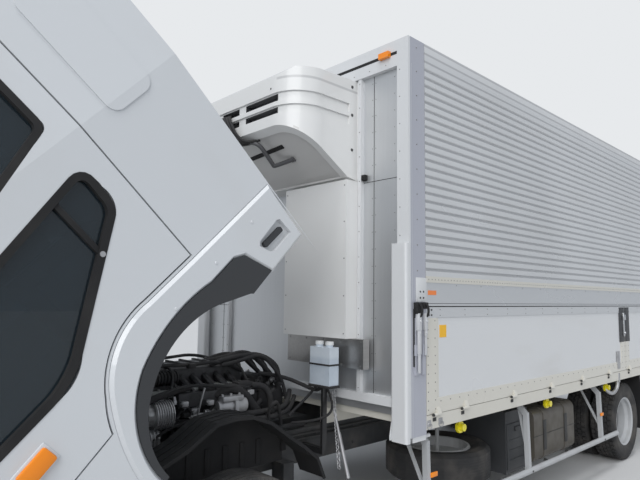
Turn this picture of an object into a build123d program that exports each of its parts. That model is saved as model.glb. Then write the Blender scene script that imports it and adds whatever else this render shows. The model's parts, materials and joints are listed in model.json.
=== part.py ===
from build123d import *
import math
import os

# Refrigerated lorry with a wing-sided load box, a tilting cab and a twin-wheel rear axle.
# Millimetres. X points forward from the front face of the load box, Y to the left, Z up from the ground.
# Each finished piece is moved forward by frame_shift, so that the origin lies under the middle of the lorry.

os.makedirs("parts", exist_ok=True)

frame_shift = 1780

# Load box
box_length = 6700
box_width = 2490
box_top = 3540
sill_bottom = 916
floor_top = 1006
wing_bottom = 1718
post_length = 179
post_width = 97
post_foot = 890
header_height = 186
wall_recess = 35
wall_thick = 60
base_beam_bottom = 1062
base_beam_height = 60
wing_thick = 60
wing_roof_thick = 75
roof_beam_width = 120
roof_beam_height = 110
rib_pitch = 58
rib_depth = 9
rib_band_bottom = 1917
gate_thick = 45
gate_joint = -3930
rear_post_length = 150
rear_post_width = 100
rear_header_height = 120
rear_door_thick = 60
rear_door_gap = 5
rear_hinge_x = -6805
rear_hinge_y = 1262
rear_tilt_gap = 5
panel_gap = 8
gate_axis_reach = 12
bearer_pitch = 610
bearer_width = 60
subframe_width = 60

# Chassis
rail_outer = 430
rail_flange = 75
rail_web = 8
rail_bottom = 610
rail_top = 840
rail_front = 2050
cross_front_top = 750
front_axle_x = 1098
rear_axle_x = -4073
tyre_radius = 420
tyre_width = 245
rim_radius = 248
rim_flange_radius = 260
rim_width = 200
front_track_half = 965
twin_outer_half = 1053
twin_pitch = 280
kingpin_half = 790
hub_radius = 95
drum_radius = 190

# Cab, given as it stands when it is shut; it is shown tilted about its front hinge
cab_half = 1155
cab_rear = 213
cab_front = 2283
cab_bottom = 650
cab_roof = 2640
cab_skin = 40
cab_floor = 1180
tilt_x = 1970
tilt_z = 780
rest_tilt = 47
hump_half = 470
hump_top = 1450
hump_front = 1790
fender_proud = 15
fender_depth = 120
trim_depth = 150
door_rear = 813
door_front = 2130
door_bottom = 985
door_thick = 70
glass_thick = 6
glass_inset = 25

# Cold unit on the front wall
unit_half = 765
unit_depth = 580
unit_bottom = 2604
unit_top = 3350
lip_height = 2935

box_half = box_width / 2
box_rear = -box_length
frame_rear = box_rear + rear_post_length
tilt_axis = Axis((tilt_x, 0, tilt_z), (0, 1, 0))


def side_plane(y):
    """Upright plane along the lorry: sketch x is X and sketch y is Z, extruding towards -Y."""
    return Plane.XZ.offset(-y)


def cross_plane(x):
    """Upright plane across the lorry: sketch x is Y and sketch y is Z, extruding towards +X."""
    return Plane.YZ.offset(x)


def block(x0, x1, y0, y1, z0, z1, mode=Mode.ADD):
    """Add a block between two opposite corners to the part being built."""
    with Locations(((x0 + x1) / 2, (y0 + y1) / 2, (z0 + z1) / 2)):
        Box(abs(x1 - x0), abs(y1 - y0), abs(z1 - z0), mode=mode)


def trace(points):
    """Draw a closed outline; a point with a third value is passed by an arc to the point after it."""
    here = points[0]
    passed = None
    for point in (*points[1:], points[0]):
        if len(point) == 3:
            passed = point[:2]
        elif passed:
            ThreePointArc(here, passed, point)
            here = point
            passed = None
        else:
            Line(here, point)
            here = point


def side_cut(points, inner_y, outer_y):
    """A prism between two distances from the middle, from an outline of X and Z."""
    with BuildPart() as prism:
        with BuildSketch(side_plane(outer_y)):
            with BuildLine():
                trace(points)
            make_face()
        extrude(amount=outer_y - inner_y)
    return prism.part


def rod(start, end, radius, mode=Mode.ADD):
    """Add a round bar from one point to another to the part being built."""
    path = Vector(*end) - Vector(*start)
    with BuildSketch(Plane(origin=start, z_dir=path)) as section:
        Circle(radius)
    extrude(section.sketch, amount=path.length, mode=mode)


def bar(start, end, radius, sides=8, mode=Mode.ADD):
    """Add a thin bar of a few flats from one point to another to the part being built."""
    path = Vector(*end) - Vector(*start)
    with BuildSketch(Plane(origin=start, z_dir=path)) as section:
        RegularPolygon(radius, sides, rotation=180 / sides)
    extrude(section.sketch, amount=path.length, mode=mode)


def flats(y0, y1, radius, sides, mode=Mode.ADD):
    """Add a prism of many flats about the Y axis through the origin to the part being built."""
    with BuildSketch(side_plane(y1)) as section:
        RegularPolygon(radius, sides)
    extrude(section.sketch, amount=y1 - y0, mode=mode)


def save(piece, node):
    """Move one finished piece into the shared frame, name it and write it as its own file."""
    placed = piece.moved(Location((frame_shift, 0, 0)))
    placed.label = node
    export_step(placed, f"parts/{node}.step")


def save_cab(piece, node):
    """Save a piece of the cab, turned from its shut place to the tilt it is shown at."""
    save(piece.rotate(tilt_axis, rest_tilt), node)


def save_pair(piece, node):
    """Save the left piece and its mirror image on the right."""
    save(piece, f"{node}_left")
    save(mirror(piece, about=Plane.XZ), f"{node}_right")


# Chassis frame: two channel rails joined by cross members
with BuildPart() as chassis_frame:
    with BuildSketch(cross_plane(frame_rear)) as rail_section:
        with Locations((rail_outer - rail_flange / 2, (rail_bottom + rail_top) / 2)):
            Rectangle(rail_flange, rail_top - rail_bottom)
        with Locations((rail_outer - rail_web - rail_flange / 2, (rail_bottom + rail_top) / 2)):
            Rectangle(rail_flange, rail_top - rail_bottom - 2 * rail_web, mode=Mode.SUBTRACT)
    extrude(amount=rail_front - frame_rear)
    mirror(about=Plane.XZ)
    cross_height = 120
    cross_length = 90
    cross_inset = rail_outer - rail_web
    # columns: X of the cross member, Z of its middle
    for cross_x, cross_z in (
        (2000, cross_front_top - cross_height / 2),
        (-150, 725),
        (-1500, 725),
        (-2900, 725),
        (-3650, 725),
        (-4500, 725),
        (-6480, 725),
    ):
        block(
            cross_x - cross_length / 2,
            cross_x + cross_length / 2,
            -cross_inset,
            cross_inset,
            cross_z - cross_height / 2,
            cross_z + cross_height / 2,
        )
save(chassis_frame.part, "chassis_frame")

# Leaf springs: a stack of bent leaves with an axle clamp, one pair for each axle
spring_half_y = 515
leaf_width = 75


def spring_pair(axle_x, half_length, seat_z, eye_z, stack):
    """Add a pair of leaf springs seated at the axle and hung from the rails at both eyes."""
    with BuildSketch(side_plane(spring_half_y + leaf_width / 2)) as leaves:
        with BuildLine():
            rear_eye = (axle_x - half_length, eye_z)
            front_eye = (axle_x + half_length, eye_z)
            ThreePointArc(rear_eye, (axle_x, seat_z), front_eye)
            Line(front_eye, (axle_x + half_length, eye_z + stack / 3))
            Line((axle_x + half_length, eye_z + stack / 3), (axle_x, seat_z + stack))
            Line((axle_x, seat_z + stack), (axle_x - half_length, eye_z + stack / 3))
            Line((axle_x - half_length, eye_z + stack / 3), rear_eye)
        make_face()
    extrude(leaves.sketch, amount=leaf_width)
    for end in (-1, 1):
        hanger_x = axle_x + end * half_length
        block(
            hanger_x - 45,
            hanger_x + 45,
            rail_outer + 0.5,
            spring_half_y + leaf_width / 2,
            eye_z - 40,
            rail_bottom + 60,
        )


# Front axle: a dropped beam between the kingpins, under its springs
beam_z = 300
beam_half_height = 45
front_spring_seat = beam_z + beam_half_height
boss_radius = 34
boss_half_height = 45
pin_radius = 20
pin_gap = 0.5
with BuildPart() as front_axle:
    spring_pair(front_axle_x, 700, front_spring_seat, 540, 60)
    mirror(about=Plane.XZ)
    block(
        front_axle_x - 45,
        front_axle_x + 45,
        -kingpin_half + 70,
        kingpin_half - 70,
        beam_z - beam_half_height,
        front_spring_seat,
    )
    for side in (-1, 1):
        block(
            front_axle_x - 40,
            front_axle_x + 40,
            side * (kingpin_half - 140),
            side * (kingpin_half - 60),
            beam_z - beam_half_height,
            tyre_radius + 20,
        )
        block(
            front_axle_x - boss_radius,
            front_axle_x + boss_radius,
            side * (kingpin_half - 80),
            side * kingpin_half,
            tyre_radius - boss_half_height,
            tyre_radius + boss_half_height,
        )
        boss_low = (front_axle_x, side * kingpin_half, tyre_radius - boss_half_height)
        boss_high = (front_axle_x, side * kingpin_half, tyre_radius + boss_half_height)
        rod(boss_low, boss_high, boss_radius)
        rod(boss_low, boss_high, pin_radius + pin_gap, Mode.SUBTRACT)
        block(
            front_axle_x - 55,
            front_axle_x + 55,
            side * (spring_half_y - leaf_width / 2 - 8),
            side * (spring_half_y + leaf_width / 2 + 8),
            front_spring_seat - 20,
            front_spring_seat + 75,
        )
save(front_axle.part, "front_axle")

# Rear axle: a banjo housing with its differential, under its springs
axle_tube_radius = 62
differential_radius = 190
with BuildPart() as rear_axle:
    spring_pair(rear_axle_x, 750, tyre_radius + axle_tube_radius - 10, 600, 80)
    mirror(about=Plane.XZ)
    axle_end = twin_outer_half - twin_pitch / 2 - 25
    bar((rear_axle_x, -axle_end, tyre_radius), (rear_axle_x, axle_end, tyre_radius), axle_tube_radius, 16)
    for bulge_half, bulge_radius in ((60, differential_radius), (110, 165), (170, 120)):
        bar(
            (rear_axle_x, -bulge_half, tyre_radius),
            (rear_axle_x, bulge_half, tyre_radius),
            bulge_radius,
            16,
        )
    bar((rear_axle_x, 0, tyre_radius), (rear_axle_x + 300, 0, tyre_radius + 30), 90, 16)
save(rear_axle.part, "rear_axle")

# Steering knuckles: a fork round the axle's boss, a backing plate and the wheel's stub
fork_radius = 34
fork_bottom = tyre_radius - 85
fork_top = tyre_radius + 85
fork_gap = 5
plate_start = kingpin_half + 42
stub_radius = 32
stub_end = front_track_half + 35
with BuildPart() as knuckle:
    for arm_bottom, arm_top in (
        (fork_bottom, tyre_radius - boss_half_height - fork_gap),
        (tyre_radius + boss_half_height + fork_gap, fork_top),
    ):
        bar((front_axle_x, kingpin_half, arm_bottom), (front_axle_x, kingpin_half, arm_top), fork_radius, 12)
        block(
            front_axle_x - fork_radius,
            front_axle_x + fork_radius,
            kingpin_half,
            plate_start + 2,
            arm_bottom,
            arm_top,
        )
    rod((front_axle_x, kingpin_half, fork_bottom), (front_axle_x, kingpin_half, fork_top), pin_radius)
    block(front_axle_x - 45, front_axle_x + 45, plate_start, plate_start + 15, fork_bottom, fork_top)
    bar(
        (front_axle_x, plate_start + 14, tyre_radius),
        (front_axle_x, plate_start + 22, tyre_radius),
        drum_radius - 15,
        16,
    )
    rod((front_axle_x, plate_start + 20, tyre_radius), (front_axle_x, stub_end, tyre_radius), stub_radius)
save_pair(knuckle.part, "knuckle")

# Tyres and rims: rings of flats about the axle, drawn at the origin and then placed
wheel_sides = 26
hub_sides = 12
tyre_half = tyre_width / 2
bead_half = rim_width / 2 - 5
shoulder_drop = 28
shoulder_width = 26
wall_rise = 80
with BuildPart() as tyre:
    flats(-tyre_half, tyre_half, tyre_radius, wheel_sides)
    flats(-tyre_half - 1, tyre_half + 1, rim_radius + 1, wheel_sides, Mode.SUBTRACT)
    for end in (0, -1):
        wall_face = tyre.faces().sort_by(Axis.Y)[end]
        chamfer(wall_face.outer_wire().edges(), shoulder_drop, shoulder_width, reference=wall_face)
    for end in (0, -1):
        wall_face = tyre.faces().sort_by(Axis.Y)[end]
        chamfer(wall_face.inner_wires()[0].edges(), wall_rise, tyre_half - bead_half + 4, reference=wall_face)

rim_edge = rim_width / 2 + 8
rim_inner = rim_radius - 8
with BuildPart() as barrel:
    flats(-bead_half - 1.5, bead_half + 1.5, rim_radius, wheel_sides)
    flats(bead_half + 1.5, rim_edge, rim_flange_radius, wheel_sides)
    flats(-rim_edge, -bead_half - 1.5, rim_flange_radius, wheel_sides)
    flats(-rim_edge - 1, rim_edge + 1, rim_inner, wheel_sides, Mode.SUBTRACT)


def hand_holes(disc_y, count, circle_radius, hole_radius):
    """Cut a ring of hand holes through a wheel disc."""
    with BuildSketch(side_plane(disc_y + 30)) as holes:
        with PolarLocations(circle_radius, count):
            RegularPolygon(hole_radius, 6)
    extrude(holes.sketch, amount=60, mode=Mode.SUBTRACT)


front_wheel_place = Location((front_axle_x, front_track_half, tyre_radius))
front_disc = 40
disc_thick = 12
stub_gap = 2
with BuildPart() as front_rim:
    add(barrel.part)
    flats(front_disc, front_disc + disc_thick, rim_inner + 0.5, wheel_sides)
    hand_holes(front_disc + disc_thick / 2, 8, 190, 28)
    flats(front_disc + disc_thick, front_disc + 28, hub_radius + 45, hub_sides)
    flats(front_disc + 28, front_disc + 70, hub_radius, hub_sides)
    flats(front_disc + 70, front_disc + 82, hub_radius - 20, hub_sides)
    flats(-20, front_disc, hub_radius + 20, hub_sides)
    flats(-70, -20, drum_radius, hub_sides)
    flats(-71, front_disc + 5, stub_radius + stub_gap, hub_sides, Mode.SUBTRACT)
save_pair(tyre.part.moved(front_wheel_place), "front_tyre")
save_pair(front_rim.part.moved(front_wheel_place), "front_rim")

twin_inner_half = twin_outer_half - twin_pitch
twin_face = twin_pitch / 2
axle_gap = 3
axle_bore = axle_tube_radius + axle_gap
outer_twin_place = Location((rear_axle_x, twin_outer_half, tyre_radius))
inner_twin_place = Location((rear_axle_x, twin_inner_half, tyre_radius))
with BuildPart() as outer_rim:
    add(barrel.part)
    flats(-80, -68, rim_inner + 0.5, wheel_sides)
    flats(-twin_face, -80, 215, wheel_sides)
    flats(-twin_face + disc_thick, -67, 203, wheel_sides, Mode.SUBTRACT)
    hand_holes(-twin_face + disc_thick / 2, 8, 162, 22)
    flats(-twin_face + disc_thick, -40, hub_radius + 15, hub_sides)
    flats(-40, 0, hub_radius - 10, hub_sides)
    flats(-twin_face - 60, -twin_face, drum_radius - 60, hub_sides)
    flats(-twin_face - 61, -twin_face - 20, axle_bore, hub_sides, Mode.SUBTRACT)
with BuildPart() as inner_rim:
    add(barrel.part)
    flats(68, 80, rim_inner + 0.5, wheel_sides)
    flats(80, twin_face - 0.3, 215, wheel_sides)
    flats(67, twin_face - disc_thick, 203, wheel_sides, Mode.SUBTRACT)
    flats(60, twin_face, drum_radius - 55, wheel_sides, Mode.SUBTRACT)
with BuildPart() as rear_tyres:
    add(tyre.part.moved(outer_twin_place))
    add(tyre.part.moved(inner_twin_place))
save_pair(rear_tyres.part, "rear_tyres")
with BuildPart() as rear_rims:
    add(outer_rim.part.moved(outer_twin_place))
    add(inner_rim.part.moved(inner_twin_place))
save_pair(rear_rims.part, "rear_rims")

# Spare wheel, laid flat under the front of the load floor and hung from an arm of the rail
spare_x = -1066
spare_y = 710
spare_z = 480
lying = Location((spare_x, spare_y, spare_z), (90, 0, 0))
with BuildPart() as spare_wheel:
    add(tyre.part.moved(lying))
    add(barrel.part.moved(lying))
    bar((spare_x, spare_y, spare_z + 20), (spare_x, spare_y, spare_z + 32), rim_inner + 0.5, wheel_sides)
    bar((spare_x, spare_y, spare_z + 19), (spare_x, spare_y, spare_z + 33), 80, hub_sides, Mode.SUBTRACT)
    bar((spare_x, spare_y, spare_z + 32), (spare_x, spare_y, spare_z + 44), 100, hub_sides)
    bar((spare_x, spare_y, spare_z + 44), (spare_x, spare_y, 792), 16)
    block(spare_x - 40, spare_x + 40, rail_outer + 0.3, spare_y + 60, 790, 830)
save(spare_wheel.part, "spare_wheel")

# Engine: block with its ribbed head cover, sump, manifold and the driven units round it
engine_front = 1480
engine_rear = 480
engine_half = 290
engine_bottom = 560
engine_head = 1140
engine_top = 1290
cover_half = 150
rib_step = 104
with BuildPart() as engine:
    block(engine_rear, engine_front, -engine_half, engine_half, engine_bottom, engine_head)
    with BuildSketch(cross_plane(engine_rear + 40)) as cover_section:
        with Locations((0, (engine_head + engine_top) / 2)):
            RectangleRounded(2 * cover_half, engine_top - engine_head + 40, 40)
    extrude(cover_section.sketch, amount=engine_front - engine_rear - 100)
    for rib_place in range(9):
        rib_x = engine_rear + 60 + rib_place * rib_step
        block(rib_x, rib_x + 14, -cover_half + 30, cover_half - 30, engine_top, engine_top + 32)
    block(engine_rear + 60, engine_front - 80, -200, 200, engine_bottom - 90, engine_bottom)
    # mounts between the rails
    mount_half = rail_outer - rail_web - 0.3
    for mount_x in (650, 1300):
        block(mount_x, mount_x + 90, -mount_half, mount_half, 650, 700)
    # columns: rear X, front X, inner Y, outer Y, bottom Z, top Z of each bolted unit
    for unit_rear, unit_front, unit_inner, unit_outer, unit_low, unit_high in (
        (600, 1130, engine_half - 1, 372, 1085, 1168),
        (560, 900, engine_half - 1, 352, 760, 930),
        (930, 1120, engine_half - 1, 340, 870, 1010),
        (640, 1300, -352, -engine_half + 1, 1010, 1100),
        (1130, 1480, 60, 270, engine_head - 1, 1205),
    ):
        block(unit_rear, unit_front, unit_inner, unit_outer, unit_low, unit_high)
    # runners from the manifold to the head
    for runner in range(6):
        runner_x = 640 + runner * 90
        bar((runner_x, 330, 1150), (runner_x, cover_half - 20, 1240), 24, 8)
    # columns: X of the rear end, X of the front end, Y, Z, radius of each round unit
    for unit_rear, unit_front, unit_y, unit_z, unit_radius in (
        (1180, 1230, engine_half + 65, 1060, 72),
        (1230, 1300, engine_half + 65, 1060, 80),
        (1300, 1340, engine_half + 65, 1060, 62),
        (1340, 1375, engine_half + 65, 1060, 40),
        (1260, 1420, engine_half + 50, 925, 70),
        (1420, 1450, engine_half + 50, 925, 55),
        (700, 1000, -engine_half - 60, 1000, 110),
        (engine_front - 1, engine_front + 26, 0, 720, 105),
        (engine_front - 1, engine_front + 26, 150, 1010, 62),
    ):
        bar((unit_rear, unit_y, unit_z), (unit_front, unit_y, unit_z), unit_radius, 16)
save(engine.part, "engine")

# Radiator with its shroud and fan ring
with BuildPart() as radiator:
    block(1640, 1700, -340, 340, 640, 1140)
    block(1560, 1640, -300, 300, 690, 1090)
    bracket_end = rail_outer - rail_web - 0.3
    block(1650, 1690, -bracket_end, bracket_end, 700, 760)
save(radiator.part, "radiator")

# Gearbox and the shaft back to the rear axle
with BuildPart() as driveline:
    block(-90, engine_rear - 0.3, -190, 190, 520, 860)
    rod((-100, 0, 600), (rear_axle_x + 315, 0, tyre_radius + 30), 45)
    rod((-100, 0, 600), (-60, 0, 600), 80)
save(driveline.part, "driveline")

# Mudguards: a bent guard over each front wheel on arms from the rail, and a flap behind each twin pair
guard_inner = 640
guard_outer = 880
guard_thick = 8
guard_line = (
    (1640, 700),
    (1523, 916),
    (1358, 985),
    (1181, 1091),
    (1060, 1106),
    (938, 1098),
    (805, 1047),
    (663, 947),
    (539, 865),
    (435, 783),
    (372, 648),
)


def guard_band(thick):
    """The guard's line and the same line moved towards the axle by the thickness, as one closed outline."""
    inner = []
    for x, z in guard_line:
        reach = math.hypot(x - front_axle_x, z - tyre_radius)
        share = 1 - thick / reach
        inner.append((front_axle_x + (x - front_axle_x) * share, tyre_radius + (z - tyre_radius) * share))
    return (*guard_line, *reversed(inner))


with BuildPart() as mudguards:
    add(side_cut(guard_band(guard_thick), guard_inner, guard_outer))
    # rolled outer edge
    add(side_cut(guard_band(2.5 * guard_thick), guard_outer - 10, guard_outer))
    # columns: X of the arm, Z of its head under the guard
    for arm_x, head_z in ((1440, 947), (545, 865)):
        block(arm_x - 18, arm_x + 18, rail_outer + 0.3, guard_inner + 30, 800, 824)
        block(arm_x - 18, arm_x + 18, guard_inner + 6, guard_inner + 30, 820, head_z)
    flap_x = rear_axle_x - 540
    block(flap_x - 8, flap_x, twin_inner_half - 130, twin_outer_half + 120, 260, sill_bottom - 0.3)
    mirror(about=Plane.XZ)
save(mudguards.part, "mudguards")

# Front bumper: a wrapped beam with an entry step at each end, on arms under the rails
bumper_front = 2370
bumper_rear = 2297
bumper_bottom = 330
bumper_top = 630
step_top = 440
bumper_half = 1150
bumper_skin = 20
step_rear = 1720
bumper_corner = 240
arm_half_y = 400
with BuildPart() as front_bumper:
    with BuildSketch(Plane.XY.offset(bumper_bottom)) as bumper_plan:
        with Locations(((step_rear + bumper_front) / 2, 0)):
            Rectangle(bumper_front - step_rear, 2 * bumper_half)
        fillet(bumper_plan.vertices().group_by(Axis.X)[-1], bumper_corner)
    extrude(amount=bumper_top - bumper_bottom)
    with BuildSketch(Plane.XY.offset(bumper_bottom + bumper_skin)) as bumper_hollow:
        with Locations(((step_rear + bumper_front) / 2 - bumper_skin, 0)):
            Rectangle(bumper_front - step_rear, 2 * (bumper_half - bumper_skin))
        fillet(bumper_hollow.vertices().group_by(Axis.X)[-1], bumper_corner - bumper_skin)
    extrude(amount=bumper_top, mode=Mode.SUBTRACT)
    block(step_rear - 1, bumper_rear, -bumper_half - 1, bumper_half + 1, step_top, bumper_top + 1, Mode.SUBTRACT)
    block(step_rear - 1, bumper_rear, -850, 850, bumper_bottom - 1, bumper_top, Mode.SUBTRACT)
    for side in (-1, 1):
        block(1700, bumper_rear + 30, side * (arm_half_y - 25), side * (arm_half_y + 25), 385, step_top)
        block(1700, 1790, side * (arm_half_y - 25), side * (arm_half_y + 25), step_top, rail_bottom)
        block(1800, 1850, side * (arm_half_y + 25), side * 900, 385, step_top - 5)
        block(1760, 2200, side * 870, side * (bumper_half - bumper_skin + 1), step_top - 30, step_top)
save(front_bumper.part, "front_bumper")

# Fuel tank and the boxes of the chassis sides, each hung from the rail
tank_rear = -2760
tank_length = 840
strap_thick = 5
hang_gap = 0.3
with BuildPart() as fuel_tank:
    with BuildSketch(cross_plane(tank_rear)) as tank_section:
        with Locations((850, 575)):
            RectangleRounded(560, 450, 70)
    extrude(amount=tank_length)
    for bracket_x in (tank_rear + 200, tank_rear + 640):
        block(bracket_x - 30, bracket_x + 30, rail_outer + hang_gap, 600, 640, 700)
        with BuildSketch(cross_plane(bracket_x - 25)) as strap:
            with Locations((850, 575)):
                RectangleRounded(560 + 2 * strap_thick, 450 + 2 * strap_thick, 70 + strap_thick)
        extrude(strap.sketch, amount=50)
    rod((tank_rear + 420, 1010, 790), (tank_rear + 420, 1010, 832), 48)
save(fuel_tank.part, "fuel_tank")

with BuildPart() as equipment_boxes:
    # columns: rear X, front X, inner Y, outer Y, bottom Z, top Z
    for rear_x, front_x, inner_y, outer_y, low_z, high_z in (
        (-1890, -1510, 600, 1080, 330, 830),
        (-1900, -1100, -1080, -600, 330, 800),
        (-3100, -2100, -1000, -600, 380, 800),
    ):
        block(rear_x, front_x, inner_y, outer_y, low_z, high_z)
        side = 1 if inner_y > 0 else -1
        near_y = inner_y if side > 0 else outer_y
        for arm_x in (rear_x + 90, front_x - 90):
            block(arm_x - 30, arm_x + 30, side * (rail_outer + hang_gap), near_y, 640, 700)
save(equipment_boxes.part, "equipment_boxes")

post_inner = box_half - post_width

# Hinges of the drop sides: a knuckle of the sill beside a knuckle of the gate
gate_hinge_places = (-286, -626, -1336, -2022, -2702, -3407, -4019, -4700, -5380, -6060, -6400)
gate_axis_y = box_half + gate_axis_reach
gate_axis_z = floor_top
gate_knuckle = 40
knuckle_gap = 0.3
knuckle_lap = 0.1


def gate_hinge(start_x, side, section):
    """Add one knuckle of a gate hinge, from points relative to the hinge line."""
    with BuildSketch(cross_plane(start_x)) as knuckle_section:
        with BuildLine():
            Polyline(*[(side * (gate_axis_y + out), gate_axis_z + up) for out, up in section], close=True)
        make_face()
    extrude(knuckle_section.sketch, amount=gate_knuckle)


# columns: distance out from the hinge line, height above it
sill_knuckle_section = ((-gate_axis_reach - knuckle_lap, -22), (4, -9), (9, 0), (4, 9), (-5, 9), (-gate_axis_reach - knuckle_lap, -4))
gate_knuckle_section = ((-gate_axis_reach - knuckle_lap, 45), (-gate_axis_reach + 5, 45), (8, 5), (8, -5), (0, -9), (-8, -5), (-gate_axis_reach - knuckle_lap, 6))

# Load floor: sills, platform, a deck between the walls, cross bearers and the two runners on the rails
runner_outer = rail_outer
deck_thick = 6
deck_gap = 5
deck_front = -wall_recess - wall_thick - deck_gap
deck_rear = box_rear + rear_post_length + deck_gap
deck_half = box_half - gate_thick - deck_gap
with BuildPart() as load_floor:
    block(box_rear + 60, -60, -box_half, box_half, sill_bottom, floor_top)
    block(
        box_rear + 59,
        -59,
        -box_half + 60,
        box_half - 60,
        sill_bottom - 1,
        floor_top - 50,
        Mode.SUBTRACT,
    )
    block(deck_rear, deck_front, -deck_half, deck_half, floor_top - 1, floor_top + deck_thick)
    bearer_x = box_rear + 200
    while bearer_x < -200:
        block(bearer_x, bearer_x + bearer_width, -box_half + 59, box_half - 59, sill_bottom, floor_top - 49)
        bearer_x += bearer_pitch
    for side in (-1, 1):
        block(
            -post_length - deck_gap,
            deck_front + 1,
            side * (post_inner - deck_gap),
            side * box_half,
            floor_top,
            floor_top + deck_thick + 1,
            Mode.SUBTRACT,
        )
        block(-post_length - 0.3, -59, side * (post_inner - 0.3), side * (box_half + 1), 900, 1010, Mode.SUBTRACT)
        for hinge_x in gate_hinge_places:
            gate_hinge(hinge_x + knuckle_gap / 2, side, sill_knuckle_section)
        block(
            box_rear + 200,
            -60,
            side * (runner_outer - subframe_width),
            side * runner_outer,
            rail_top,
            floor_top - 49,
        )
save(load_floor.part, "load_floor")

# Front wall of the load box: corner posts, header, base beam, mullions and recessed panels
header_bottom = box_top - header_height
guard_post_top = 2125
guard_post_out = 38
guard_post_width = 130
post_locks = (
    (-93, -50, 1276, 1641, 12),
    (-100, -44, 1400, 1470, 20),
    (-158, -125, 1276, 1641, 12),
    (-166, -120, 1400, 1470, 20),
    (-86, -58, 1640, 1720, 22),
    (-154, -130, 1640, 1700, 22),
)
with BuildPart() as front_wall:
    for side in (-1, 1):
        block(-post_length, 0, side * post_inner, side * box_half, post_foot, box_top)
        # rounded corner guard in front of the post, with a gusset beside its foot
        with BuildSketch(Plane.XY.offset(post_foot - 30)) as guard_plan:
            with Locations((guard_post_out / 2 - 10, side * (box_half - guard_post_width / 2 + 6))):
                RectangleRounded(guard_post_out + 20, guard_post_width, 18)
        extrude(guard_plan.sketch, amount=guard_post_top - post_foot + 30)
        block(-19, 0.1, side * (box_half - 1), side * (box_half + 7), post_foot - 31, guard_post_top + 1, Mode.SUBTRACT)
        block(-19, -1, side * (box_half - guard_post_width), side * (box_half + 7), post_foot - 31, post_foot, Mode.SUBTRACT)
        with BuildSketch(side_plane(box_half - 118 if side > 0 else 126 - box_half)) as gusset:
            with BuildLine():
                Polyline((-1, 1104), (46, 890), (46, 866), (-1, 866), close=True)
            make_face()
        extrude(gusset.sketch, amount=8)
        # wing locks on the post's outer face
        # columns: rear X, front X, bottom Z, top Z, how far it stands out
        for lock_rear, lock_front, lock_low, lock_high, lock_out in post_locks:
            block(lock_rear, lock_front, side * (box_half - 1), side * (box_half + lock_out), lock_low, lock_high)
        # foot of the post with its round end
        block(-post_length, -35, side * (post_inner + 20), side * (box_half - 4), post_foot - 34, post_foot + 1)
        rod((-260, side * 1205, 868), (-post_length + 1, side * 1205, 868), 13)
        block(-wall_recess - wall_thick, -5, side * 785, side * 817, base_beam_bottom, header_bottom)
    block(-post_length, 0, -post_inner, post_inner, header_bottom, box_top)
    block(-59.7, 0, -post_inner, post_inner, base_beam_bottom, base_beam_bottom + base_beam_height)
    block(
        -wall_recess - wall_thick,
        -wall_recess,
        -post_inner,
        post_inner,
        floor_top,
        header_bottom,
    )
save(front_wall.part, "front_wall")

# Roof beam along the middle, which carries both wings
with BuildPart() as roof_beam:
    block(
        frame_rear,
        -post_length,
        -roof_beam_width / 2,
        roof_beam_width / 2,
        box_top - roof_beam_height,
        box_top,
    )
    # lugs of the wings' hinges
    for lug_place in range(8):
        lug_start = frame_rear + 200 + lug_place * 820
        block(
            lug_start,
            lug_start + 120,
            -roof_beam_width / 2 - 4.7,
            roof_beam_width / 2 + 4.7,
            box_top - 60,
            box_top - 5,
        )
save(roof_beam.part, "roof_beam")

# Rear frame: posts, header and sill round the rear doors
rear_post_inner = box_half - rear_post_width
rear_hinge_heights = (1180, 1950, 2720, 3400)
strap_height = 60
lug_height = 50
lug_gap = 0.3
knuckle_radius = 12
with BuildPart() as rear_frame:
    with BuildSketch(cross_plane(box_rear)):
        with Locations((0, (sill_bottom + box_top) / 2)):
            Rectangle(box_width, box_top - sill_bottom)
        with Locations((0, (floor_top + box_top - rear_header_height) / 2)):
            Rectangle(2 * rear_post_inner, box_top - rear_header_height - floor_top, mode=Mode.SUBTRACT)
    extrude(amount=rear_post_length)
    block(box_rear + 59.7, frame_rear + 1, -rear_post_inner, rear_post_inner, sill_bottom - 1, floor_top, Mode.SUBTRACT)
    for side in (-1, 1):
        block(
            box_rear + 59.7,
            frame_rear + 1,
            side * (rear_post_inner - 1),
            side * (box_half + 1),
            sill_bottom - 1,
            floor_top + 0.3,
            Mode.SUBTRACT,
        )
        # lugs that carry the pins of the rear doors, one under each strap
        for hinge_z in rear_hinge_heights:
            low_z = hinge_z - lug_gap - lug_height
            high_z = hinge_z - lug_gap
            lug_inner = side * (box_half - 0.1)
            lug_outer = side * (rear_hinge_y + 10)
            block(rear_hinge_x, box_rear + 90, lug_inner, lug_outer, low_z, high_z)
            pin_low = (rear_hinge_x, side * rear_hinge_y, low_z)
            bar(pin_low, (rear_hinge_x, side * rear_hinge_y, high_z), knuckle_radius)
save(rear_frame.part, "rear_frame")

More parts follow.
